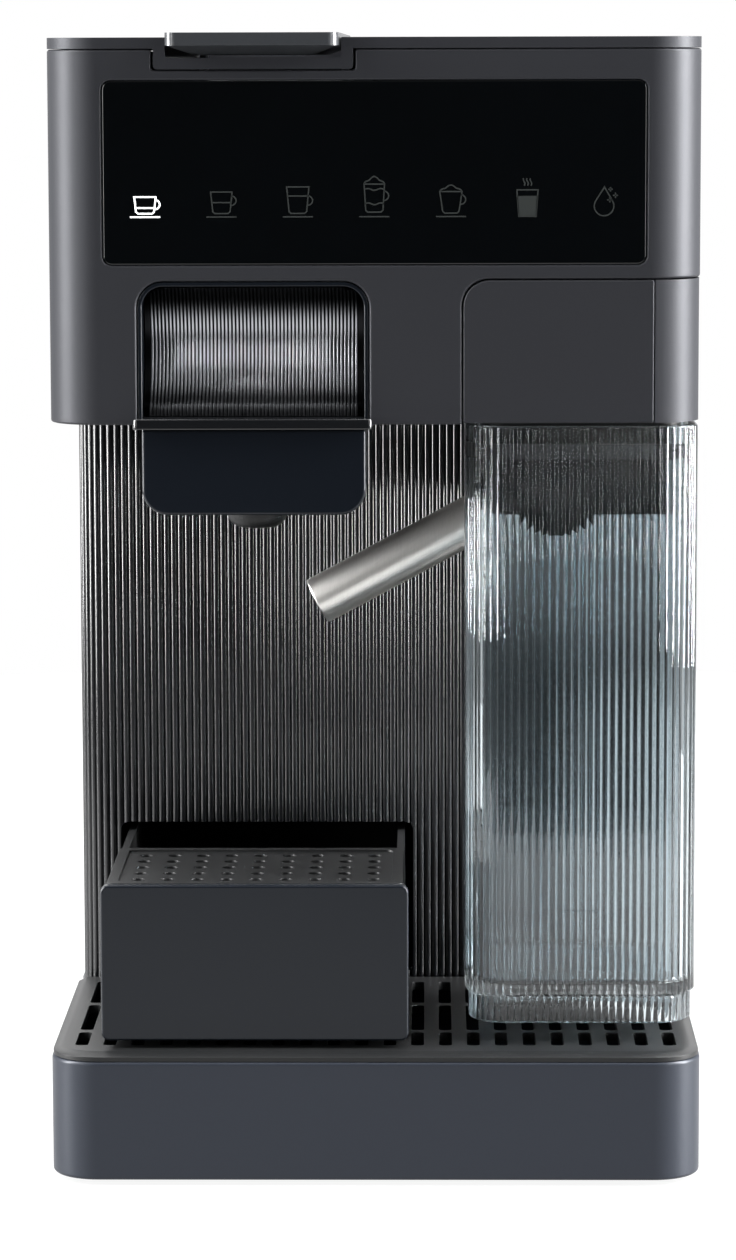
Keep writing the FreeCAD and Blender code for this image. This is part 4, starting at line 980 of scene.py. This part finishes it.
@dataclass
class Drawer:
    """The capsule drawer, whose front half is the cup stand."""

    corner: float = 2.2 * MM
    hole: float = 1.8 * MM
    hole_step: Point = (8 * MM, 9 * MM)

    def build(self) -> None:
        """Make the front plate and the cup stand."""
        x, y, z = extent("drawer_front")
        plate = panel("drawer_plate", x, z, self.corner, y)
        place(soften(plate, 0.7 * MM, 4), MIDNIGHT, "drawer", "base_slate", "drawer_front")
        self.make_stand()

    def make_stand(self) -> None:
        """Sunken cup stand with a rim and rows of drain holes."""
        x, y, z = extent("cup_plate")
        stand = block("cup_stand", x, y, z, 1.5 * MM)
        dish = block("dish", grown(x, -3 * MM), grown(y, -3 * MM), (z[1] - 0.6 * MM, z[1] + 2 * MM), 2 * MM)
        cut(stand, dish)
        holes = [circle((middle(x) + self.hole_step[0] * column, middle(y) + self.hole_step[1] * row),
                        self.hole, 20) for row in range(-2, 3) for column in range(-4, 5)]
        cut(stand, posts("drains", holes, grown(z, 1 * MM)))
        place(soften(stand, 0.18 * MM, 2), MOULDED, "drawer", "black_moulding", "cup_plate")


@dataclass
class Tray:
    """The drip tray with its deep front and slotted grid."""

    corner: float = 13 * MM
    wall: float = 2.5 * MM
    slot_pitch: float = 7.6 * MM
    slot_width: float = 3.5 * MM
    slot_corner: float = 1.2 * MM
    grid_bevel: float = 2.6 * MM
    grid_gap: float = 0.4 * MM
    slots: int = 22
    bars: tuple[Span, ...] = ((10 * MM, 26 * MM), (29 * MM, 61 * MM), (64 * MM, 93 * MM))

    def build(self) -> None:
        """Make the tray and the grid."""
        self.make_tray()
        self.make_grid()

    def make_tray(self) -> None:
        """Open tray, with the relief under its floor for the chassis shelf."""
        x, y, z = extent("drip_tray")
        corners = (self.corner, self.corner, 0, 0)
        tray = block("tray_shell", x, y, z, corners, 14)
        inner = (self.corner - self.wall,) * 2 + (2 * MM, 2 * MM)
        room = block("room", grown(x, -self.wall), grown(y, -self.wall), ends(z, 4.5, 5), inner, 14)
        shelf = block("shelf", grown(x, -7.4 * MM), ends(y, 3.6, 5), from_low(z, -5, 2.5))
        cut(tray, room, shelf)
        place(soften(tray, 1.1 * MM, 4), SLATE, "tray", "base_slate", "drip_tray")

    def make_grid(self) -> None:
        """Grid with a bevelled rim and three rows of slots."""
        x, y, z = extent("drip_grid")
        corners = (self.corner - 0.6 * MM,) * 2 + (0, 0)
        low = rounded(x, y, corners, 14)
        bevel = self.grid_bevel
        inner = rounded(grown(x, -bevel), (y[0] + bevel, y[1]), (corners[0] - bevel,) * 2 + (0, 0), 14)
        grid = stacked("slotted_grid", ((low, z[0]), (low, z[0] + 1.2 * MM), (inner, z[1])))
        rows = [(y[0] + near - self.grid_gap, y[0] + far - self.grid_gap) for near, far in self.bars]
        centres = [middle(x) + (index - (self.slots - 1) / 2) * self.slot_pitch
                   for index in range(self.slots)]
        slots = [rounded(grown((centre, centre), self.slot_width / 2), row, self.slot_corner, 4)
                 for centre in centres for row in rows]
        hole_centre = middle(x) - 4.5 * self.slot_pitch
        wide = grown((hole_centre, hole_centre), self.slot_pitch + self.slot_width / 2)
        finger = block("finger_hole", wide, rows[-1], grown(z, 2 * MM), self.slot_corner)
        cut(grid, posts("slots", slots, grown(z, 1 * MM)), finger)
        place(soften(grid, 0.25 * MM, 2), MOULDED, "tray", "black_moulding", "drip_grid")


@dataclass
class MilkUnit:
    """The docked milk unit: clear ribbed jug, head and pouring spout."""

    rib_pitch: float = 2.0 * MM
    rib_depth: float = 0.41 * MM
    corner: float = 11 * MM
    wall: float = 2.4 * MM
    head_corner: float = 14 * MM

    def build(self) -> None:
        """Make every piece of the milk unit."""
        self.make_jug()
        self.make_head()
        self.make_spout()

    def make_jug(self) -> None:
        """Clear jug: upright ribs outside, smooth inside, and a foot that is hollow beneath."""
        x, y, z = extent("milk_container")
        core_low = extent("milk_suction_tube")[2][0]
        floor = core_low - 3 * MM
        inset = self.rib_depth

        def level(shrink: float, high: float, ribs: float) -> tuple[list[Point], float]:
            """One level of the jug, ribbed or smooth, with the same number of points."""
            outline, reference = (rounded(grown(x, -by), grown(y, -by), self.corner - by, 12)
                                  for by in (inset + shrink, inset))
            pitch = self.rib_pitch * self.length(outline) / self.length(reference)
            return ribbed(outline, pitch, ribs, closed=True), high

        rib, under, wall = self.rib_depth, floor - 3 * MM, self.wall / MM
        hollow = ((wall + 2.0, under, 0), (wall + 1.1, under - 0.8 * MM, 0),
                  (wall + 1.0, z[0] + 0.4 * MM, 0), (wall + 0.6, z[0], 0))
        outside = ((1.6, z[0], 0.4 * rib), (1.0, z[0] + 0.6 * MM, rib), (1.0, floor - 2.9 * MM, rib),
                   (0.5, floor - 2.3 * MM, rib), (0, floor - 2.0 * MM, rib), (0, z[1] - 0.6 * MM, rib),
                   (0.4, z[1], 0.3 * rib))
        inside = ((wall - 0.3, z[1], 0), (wall, z[1] - 0.5 * MM, 0), (wall, floor + 2.2 * MM, 0),
                  (wall + 0.8, floor + 0.6 * MM, 0), (wall + 2.4, floor, 0))
        levels = [level(shrink * MM, high, ribs) for shrink, high, ribs in hollow + outside + inside]
        jug = stacked("ribbed_jug", levels)
        place(soften(jug, 0, angle=55), CLEAR, "milk_unit", "clear_plastic", "milk_container")
        self.make_level_line(x, y, z)

    def length(self, outline: Sequence[Point]) -> float:
        """The length round a closed outline."""
        return sum((Vector(a) - Vector(b)).length for a, b in zip(outline, outline[1:] + outline[:1]))

    def make_level_line(self, x: Span, y: Span, z: Span) -> None:
        """Two plain fill lines moulded on the jug's front, in place of any words."""
        for name, share in (("fill_line_high", 0.697), ("fill_line_low", 0.19)):
            high = z[0] + (z[1] - z[0]) * share
            line = block(name, (middle(x) - 5 * MM, middle(x) + 5 * MM), from_low(y, 2.4, 2.9),
                         (high - 0.3 * MM, high + 0.3 * MM), 0.1 * MM)
            place(soften(line, 0.08 * MM, 2), CLEAR, "milk_unit", "clear_plastic")

    def make_head(self) -> None:
        """Cover of the milk head: a flush front and a casing whose corner matches the machine's."""
        x, y, z = extent("milk_head_front")
        front = panel("milk_head_face", x, (z[0], z[1]), (0.6 * MM, 0.6 * MM, 0.6 * MM, 7 * MM), y)
        place(soften(front, 0.45 * MM), GRAPHITE, "milk_unit", "casing_graphite", "milk_head_front")
        side, deep, tall = extent("milk_head_casing")
        top = z[1]
        corners = (0.5 * MM, self.head_corner, 1 * MM, 1 * MM)
        cover = block("milk_head_cover", side, (y[0] + 0.05 * MM, deep[1]), (z[0], top), corners, 12)
        room = block("room", ends(side, 3, -3), (y[0] + 5 * MM, deep[1] - 14 * MM),
                     (z[0] - 5 * MM, top - 3 * MM), 3 * MM)
        rebate = block("rebate", (side[0] - 5 * MM, x[1] + 0.25 * MM), ends(y, -5, 0.2), grown(z, 5 * MM))
        steam = rod("steam", Axis.Y, (70 * MM, 225 * MM), 4.6 * MM, (deep[1] - 8 * MM, deep[1] + 3 * MM))
        cut(cover, room, rebate, steam)
        hub_y = extent("spout_knuckle")[1]
        hub = joint_place("spout_swivel")
        lug = panel("lug", grown((hub.x, hub.x), 8 * MM), (tall[0], z[0] + 2 * MM), (7.9 * MM, 7.9 * MM, 0, 0),
                    (hub_y[1] + 1.6 * MM, hub_y[1] + 6.6 * MM))
        stub = rod("stub", Axis.Y, (hub[0], hub[2]), 4 * MM, (hub[1] - 4 * MM, hub_y[1] + 3 * MM))
        join(cover, lug, stub)
        place(soften(cover, 0.45 * MM), GRAPHITE, "milk_unit", "casing_graphite", "milk_head_casing")

    def make_spout(self) -> None:
        """Brushed tube, cut square and lightly rounded at its tip."""
        x = extent("milk_spout")[0]
        hub = joint_place("spout_swivel")
        radius, bore, tilt = 6.75 * MM, 5.65 * MM, math.radians(28.1)
        along = Vector((-math.cos(tilt), 0, -math.sin(tilt)))
        reach = (hub.x - x[0] - radius * math.sin(tilt)) / math.cos(tilt)
        round_off = 0.4 * MM
        profile = [(radius, 9 * MM), (radius, reach - round_off), (radius - round_off / 2, reach),
                   (bore + 0.15 * MM, reach), (bore, reach - round_off), (bore, 9 * MM)]
        tube = turned("spout_tube", profile, hub, along, 96)
        place(soften(tube, 0, angle=40), BRUSHED, "spout", "steel_tube", "milk_spout")


@dataclass
class Rear:
    """What stands behind: chassis, water tank and its lid."""

    corner: float = 12 * MM
    wall: float = 2.2 * MM
    ear: float = 60 * MM
    ear_thick: float = 2.4 * MM
    barrel: float = 1.85 * MM
    barrel_half: float = 77 * MM
    pin: float = 0.8 * MM

    def build(self) -> None:
        """Make the tank, its lid and the chassis."""
        self.make_tank()
        self.make_lid()
        self.make_chassis()

    def ears(self) -> list[Span]:
        """The X spans of the tank's two ears."""
        return [(near, near + self.ear_thick) for near in (self.ear, -self.ear - self.ear_thick)]

    def make_tank(self) -> None:
        """Smoke-tinted tank with a socket in its floor and two ears with the lid's pins."""
        x, y, z = extent("water_tank")
        hinge = joint_place("tank_lid_hinge")
        rim = extent("tank_lid")[2][0] - 0.3 * MM
        tank = block("tank_wall", x, y, (z[0], rim), self.corner, 12)
        room = block("room", grown(x, -self.wall), grown(y, -self.wall), ends(z, 7, 5),
                     self.corner - self.wall, 12)
        valve_x, valve_y, _ = extent("tank_valve")
        socket = rod("socket", Axis.Z, (middle(valve_x), middle(valve_y)), 9.4 * MM, from_low(z, -1, 8))
        cut(tank, room, socket)
        soften(tank, 0.8 * MM)
        added = []
        for span in self.ears():
            post = rounded((hinge.y - self.barrel, hinge.y + self.barrel),
                           (rim - 3 * MM, hinge.z + self.barrel), (0, 0, 1.8 * MM, 1.8 * MM))
            added.append(prism("ear", Axis.X, post, span))
            added.append(rod("pin", Axis.X, (hinge.y, hinge.z), self.pin, grown(span, 3 * MM), 24))
        join(tank, *added)
        place(soften(tank, 0), SMOKE, "tank", "clear_plastic", "water_tank")

    def make_lid(self) -> None:
        """Flat lid with a finger hollow at its front and a round rear edge that turns on the pins."""
        x, y, z = extent("tank_lid")
        hinge = joint_place("tank_lid_hinge")
        lid = block("tank_cover", x, y, z, self.corner - 0.2 * MM, 12)
        hollow = block("hollow", (-20 * MM, 20 * MM), from_low(y, 2, 12), ends(z, 1.7, 2), 4 * MM)
        behind = block("behind", grown(x, 2 * MM), (hinge.y, y[1] + 2 * MM), grown(z, 2 * MM))
        cut(lid, hollow, behind)
        soften(lid, 0.5 * MM)
        half = self.barrel_half
        join(lid, rod("barrel", Axis.X, (hinge.y, hinge.z), self.barrel, (-half, half), 32))
        cuts = []
        for span in self.ears():
            cuts.append(block("notch", grown(span, 0.4 * MM), (hinge.y - 3 * MM, y[1] + 2 * MM),
                              grown(z, 2 * MM)))
            bore = self.pin + 0.12 * MM
            cuts.append(rod("bore", Axis.X, (hinge.y, hinge.z), bore, grown(span, 3.4 * MM), 24))
        cut(lid, *cuts)
        place(soften(lid, 0), MOULDED, "tank_lid", "black_moulding", "tank_lid")

    def make_chassis(self) -> None:
        """Open pan of the chassis with the shelf that runs under the tray."""
        x, y, z = extent("chassis_base")
        tray_rear = extent("drip_tray")[1][1]
        pan_front = tray_rear + 2 * MM
        pan = block("chassis_pan", x, (pan_front, y[1]), z, self.corner)
        room = block("room", grown(x, -2.5 * MM), (pan_front + 2.5 * MM, y[1] - 2.5 * MM), ends(z, 2.5, 5),
                     self.corner - 2.5 * MM)
        cut(pan, room)
        shelf = block("shelf", grown(x, -7.5 * MM), (y[0], pan_front + 5 * MM), from_low(z, 0, 2.4), 6 * MM)
        gland_x, _, gland_z = extent("cord_gland")
        hole = rod("hole", Axis.Y, (middle(gland_x), middle(gland_z)), 5.1 * MM,
                   (y[1] - 5 * MM, y[1] + 2 * MM))
        join(pan, shelf)
        cut(pan, hole)
        place(soften(pan, 0.8 * MM), SLATE, "root", "black_moulding", "chassis_base")


@dataclass
class Studio:
    """Camera, floor and soft light."""

    lens: float = 125.714286
    sensor: float = 36
    eye: tuple[float, float, float] = (14.75 * MM, -1329 * MM, 301.6 * MM)
    yaw: float = -0.0141
    pitch: float = 0.1288
    roll: float = -0.0026
    aim: tuple[float, float, float] = (0, -0.05, 0.17)

    def build(self) -> None:
        """Set up the whole studio."""
        self.make_camera()
        self.make_floor()
        self.make_world()
        for name, at, size, power in (
                ("softbox_left", (-1.0, -0.27, 0.55), (0.35, 1.2), 52),
                ("softbox_right", (1.0, -0.23, 0.55), (0.40, 1.2), 84),
                ("strip_left", (-0.95, -1.15, 0.45), (0.10, 0.9), 6.0),
                ("strip_right", (1.0, -1.15, 0.45), (0.08, 0.9), 4.2),
                ("softbox_top", (0.0, 0.15, 1.35), (1.4, 0.9), 38),
                ("softbox_back", (0.0, 1.3, 0.8), (1.4, 0.9), 10)):
            self.make_light(name, at, size, power)

    def make_camera(self) -> None:
        """Camera at the eye, turned by yaw, pitch and roll."""
        forward = Vector((math.sin(self.yaw) * math.cos(self.pitch),
                          math.cos(self.yaw) * math.cos(self.pitch), -math.sin(self.pitch)))
        right = Vector((math.cos(self.yaw), -math.sin(self.yaw), 0))
        up = right.cross(forward)
        turn = Matrix((right, up, -forward)).transposed() @ Matrix.Rotation(self.roll, 3, "Z")
        data = bpy.data.cameras.new("camera")
        data.lens = self.lens
        data.sensor_width = self.sensor
        data.clip_end = 20
        camera = bpy.data.objects.new("camera", data)
        camera.matrix_world = Matrix.Translation(self.eye) @ turn.to_4x4()
        bpy.context.scene.collection.objects.link(camera)
        bpy.context.scene.camera = camera

    def make_floor(self) -> None:
        """Round light table under the machine."""
        floor = rod("floor", Axis.Z, (0, 0.1), 0.75, (-4 * MM, 0.0), 96)
        # Opal acrylic lit from below: an even white that takes only a faint shadow.
        dress(floor, Finish("opal_acrylic_lit", "#464646", 0.6, mottle=0.01, mottle_size=50,
                            extra={"Emission Color": linear(WHITE), "Emission Strength": 0.90}))

    def make_world(self) -> None:
        """White surround with a dark band behind the camera, a pale sweep below it and a bounce above it."""
        world = bpy.data.worlds.new("studio")
        bpy.context.scene.world = world
        world.use_nodes = True
        tree = world.node_tree
        tree.nodes.clear()
        look = add_node(tree, "TexCoord").outputs["Generated"]
        parts = add_node(tree, "SeparateXYZ", None, {"Vector": look})
        whole = ramp(tree, parts.outputs["Y"], (-0.7, 0.0), (0.015, 0.7))
        for source, target in (((0.35, 0.7), (0.0, 0.35)), ((-0.2, -0.6), (0.0, 0.4))):
            whole = reckon(tree, "MAXIMUM", whole, ramp(tree, parts.outputs["Z"], source, target))
        seen = add_node(tree, "LightPath")
        strength = add_node(tree, "Mix", {"data_type": "FLOAT", "#3": 1.0},
                            {"#0": seen.outputs["Is Camera Ray"], "#2": whole})
        light = add_node(tree, "Background", {"Color": linear(WHITE)}, {"Strength": strength.outputs[0]})
        add_node(tree, "OutputWorld", None, {"Surface": light.outputs["Background"]})

    def make_light(self, name: str, at: tuple[float, float, float], size: Span, power: float) -> None:
        """Hang a softbox that faces the machine.

        Args:
            name: its name.
            at: its middle.
            size: width and height.
            power: watts.
        """
        data = bpy.data.lights.new(name, "AREA")
        data.shape = "RECTANGLE"
        data.size, data.size_y = size
        data.energy = power
        lamp = bpy.data.objects.new(name, data)
        lamp.location = at
        lamp.rotation_euler = (Vector(self.aim) - Vector(at)).to_track_quat("-Z", "Y").to_euler()
        bpy.context.scene.collection.objects.link(lamp)


def dress_frame() -> None:
    """Give every frame node the finish of its slot, and the few that differ their own."""
    slots = {part["node"]: part["material_slot"] for part in frame["record"]["subparts"]}
    own = {"rubber_feet": RUBBER, "pump_mounts": RUBBER, "piston_seal": RUBBER, "milk_gasket": RUBBER,
           "spout_knuckle": MOULDED}
    for name, node in frame["nodes"].items():
        dress(node, own.get(name, SLOT_FINISHES[slots[name]]))


def main() -> None:
    """Build the studio and the sub-assemblies in order."""
    logging.basicConfig(level=logging.INFO, format="%(message)s")
    bpy.context.scene.view_settings.view_transform = "Standard"
    Studio().build()
    dress_frame()
    builders: list[Callable[[], None]] = [
        Head().build, Display().build, BrewFront().build, Lever().build, Column().build, Drawer().build,
        Tray().build, MilkUnit().build, Rear().build,
    ]
    for build in builders:
        build()


if __name__ == "__main__":
    main()
